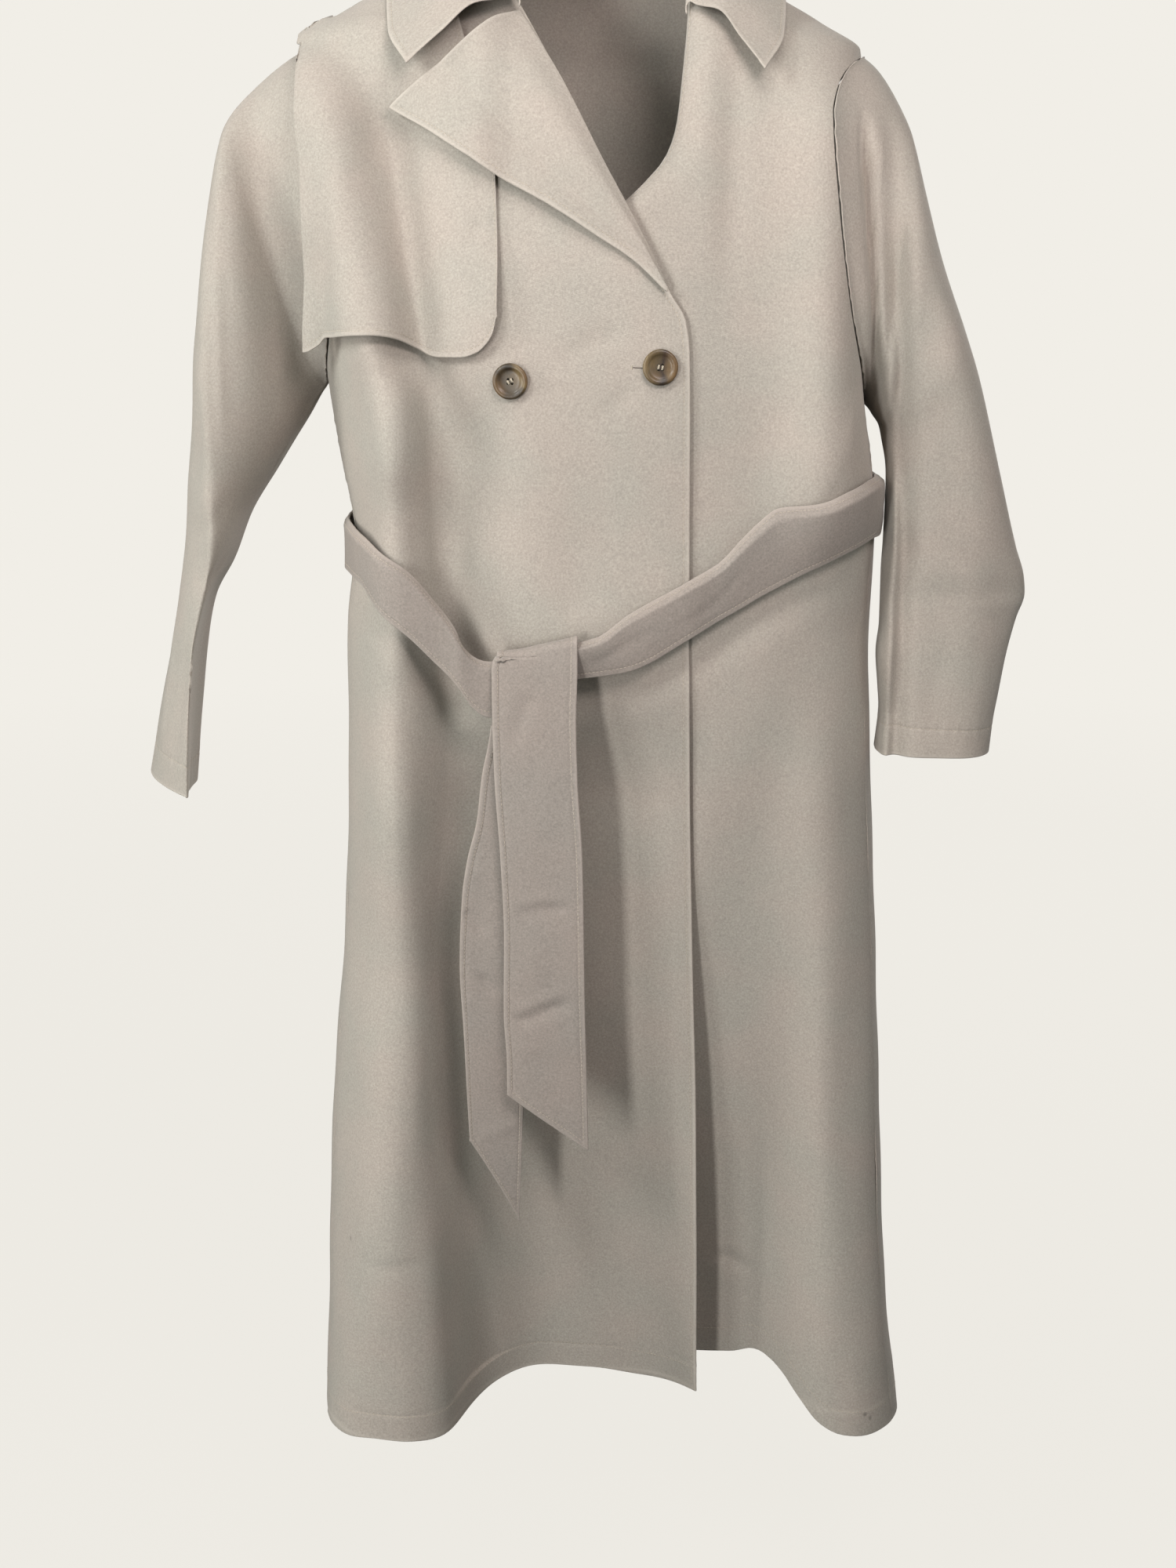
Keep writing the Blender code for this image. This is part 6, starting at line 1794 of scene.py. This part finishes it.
DARK, GREY, TAN, AMBER = linear(32, 24, 15), linear(78, 66, 46), linear(112, 94, 62), linear(100, 76, 44)
HORN_BANDS = {
    "button_right": ((0.05, linear(92, 72, 44)), (0.26, linear(60, 48, 32)), (0.48, GREY), (0.66, linear(88, 72, 47)), (0.82, TAN), (0.97, AMBER)),
    "button_left": ((0.05, TAN), (0.24, linear(93, 77, 50)), (0.44, GREY), (0.57, linear(47, 36, 27)), (0.74, linear(101, 82, 55)), (0.95, AMBER)),
}
HORN_SPOTS = {
    "button_right": ((-2, 10, 6, DARK, 0.85), (7, -9, 6, DARK, 0.6), (-9, -6, 7, AMBER, 0.5)),
    "button_left": ((2, -11, 7, DARK, 0.7), (-3, -7, 6, AMBER, 0.5), (4, 9, 5, linear(70, 52, 36), 0.5)),
}
buttons = {}
for name, x, z, turn, lean in (("button_right", BUTTONS["x"][0], BUTTONS["z"][0], 0.5, 0.45),
                               ("button_left", BUTTONS["x"][1], BUTTONS["z"][1], -0.2, -0.12)):
    piece, thread, at, rot = button_piece(name + "_horn", float(x) * MM, float(z) * MM, turn)
    piece.data.materials.clear()
    piece.data.materials.append(horn("horn_" + name[7:], tuple(at.tolist()), lean, HORN_BANDS[name], HORN_SPOTS[name]))
    thread.data.materials.append(button_thread)
    buttons[name] = (piece, thread)

# ================================================================ riding on the frame
for key, (piece, P, N) in made.items():
    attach(piece, "root")
    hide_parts(key)
    for extra in parts.get(key, ()):
        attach(extra, "root")
for key, (piece, thread) in buttons.items():
    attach(piece, "root")
    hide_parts(key)
    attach(thread, "root")


def cut_size(key):
    """Flat width, length and area of a piece, from the runs along its rows and columns."""
    piece, P, N = made[key]
    ring = key.startswith("sleeve")
    Q = np.concatenate([P, P[:, :1]], 1) if ring else P
    wide, long_ = runs(Q, 1)[:, -1].max(), runs(Q, 0)[-1].max()
    a, b, c, d = Q[:-1, :-1], Q[1:, :-1], Q[1:, 1:], Q[:-1, 1:]
    area = 0.5 * np.linalg.norm(np.cross(c - a, d - b), axis=-1).sum()
    return round(float(wide), 3), round(float(long_), 3), round(float(min(area, wide * long_)), 4)


RESTS = {
    "front_right": ["sleeve_right"], "front_left": ["sleeve_left"], "back": ["front_right", "front_left"],
    "sleeve_right": ["front_right"], "sleeve_left": ["front_left"], "storm_flap": ["front_right"],
    "lapel_right": ["front_right"], "collar": ["back"], "belt_loop": ["front_right", "front_left", "back"],
    "belt_tail_front": ["belt_loop"], "belt_tail_rear": ["belt_loop"],
}
HELD = {"storm_flap": "laid", "lapel_right": "folded", "collar": "folded", "belt_loop": "gathered",
        "belt_tail_front": "folded"}
for key, (piece, P, N) in made.items():
    w, l, area = cut_size(key)
    HELD.get(key, "hung")
    [made[k][0].name for k in RESTS[key]]
    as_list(parts.get(key, []))

# ================================================================ floor, light and camera
scene = bpy.context.scene
scene.view_settings.view_transform = "Standard"
scene.view_settings.look = "None"
scene.view_settings.exposure = 0.0
scene.view_settings.gamma = 1.0
PAPER = linear(241, 238, 231)

floor_mesh = bpy.data.meshes.new("floor")
floor_z, reach = -1.46, 30.0
bm = bmesh.new()
centre = bm.verts.new((0, 0, floor_z))
rim = [bm.verts.new((reach * math.cos(2 * pi * k / 96), reach * math.sin(2 * pi * k / 96), floor_z)) for k in range(96)]
for k in range(96):
    bm.faces.new((centre, rim[k], rim[(k + 1) % 96]))
bm.to_mesh(floor_mesh)
bm.free()
floor = bpy.data.objects.new("floor", floor_mesh)
scene.collection.objects.link(floor)
m, t, shader = nodes_of("pale_floor")
shader.inputs["Base Color"].default_value = (*(c * 0.5 for c in PAPER), 1)
shader.inputs["Roughness"].default_value = 0.9
shader.inputs["Specular IOR Level"].default_value = 0.1
place = add(t, "ShaderNodeTexCoord")
far = add(t, "ShaderNodeVectorMath", operation="LENGTH")
t.links.new(place.outputs["Object"], far.inputs[0])
glow = add(t, "ShaderNodeEmission")
glow.inputs["Color"].default_value = (*PAPER, 1)
both = add(t, "ShaderNodeMixShader")
t.links.new(ramp(t, maths(t, "DIVIDE", far.outputs["Value"], 6.0), (0.2, 0.93), (0.8, 1.0)), both.inputs[0])
t.links.new(shader.outputs[0], both.inputs[1])
t.links.new(glow.outputs[0], both.inputs[2])
t.links.new(both.outputs[0], t.nodes["Material Output"].inputs["Surface"])
floor_mesh.materials.append(m)
floor.visible_diffuse = False
floor.visible_glossy = False

world = bpy.data.worlds.new("studio")
scene.world = world
world.use_nodes = True
wt = world.node_tree
back = wt.nodes["Background"]
back.inputs["Color"].default_value = (*PAPER, 1)
back.inputs["Strength"].default_value = 1.0
soft = wt.nodes.new("ShaderNodeBackground")
soft.inputs["Color"].default_value = (0.93, 1.0, 0.97, 1)
soft.inputs["Strength"].default_value = AMBIENT
path = wt.nodes.new("ShaderNodeLightPath")
both = wt.nodes.new("ShaderNodeMixShader")
wt.links.new(path.outputs["Is Camera Ray"], both.inputs[0])
wt.links.new(soft.outputs[0], both.inputs[1])
wt.links.new(back.outputs[0], both.inputs[2])
wt.links.new(both.outputs[0], wt.nodes["World Output"].inputs["Surface"])


def area_light(name, at, to, size, power, colour=(1, 1, 1), spread=180):
    data = bpy.data.lights.new(name, "AREA")
    data.shape = "RECTANGLE"
    data.size, data.size_y = size
    data.energy = power
    data.color = colour
    data.spread = math.radians(spread)
    lamp = bpy.data.objects.new(name, data)
    lamp.location = at
    lamp.rotation_mode = "QUATERNION"
    lamp.rotation_quaternion = (Vector(to) - Vector(at)).to_track_quat("-Z", "Y")
    lamp.visible_camera = False
    scene.collection.objects.link(lamp)
    return lamp


for name, at, to, size, power, colour in LIGHTS:
    area_light(name, at, to, size, power, colour)

cam_data = bpy.data.cameras.new("camera")
cam_data.sensor_fit = "AUTO"
cam_data.sensor_width = 36.0
cam_data.lens = 39.489
cam_data.clip_end = 100.0
cam = bpy.data.objects.new("camera", cam_data)
cam.location = (0.0, -1.45, -0.30)
cam.rotation_euler = (math.radians(75.611), 0, 0)
scene.collection.objects.link(cam)
scene.camera = cam
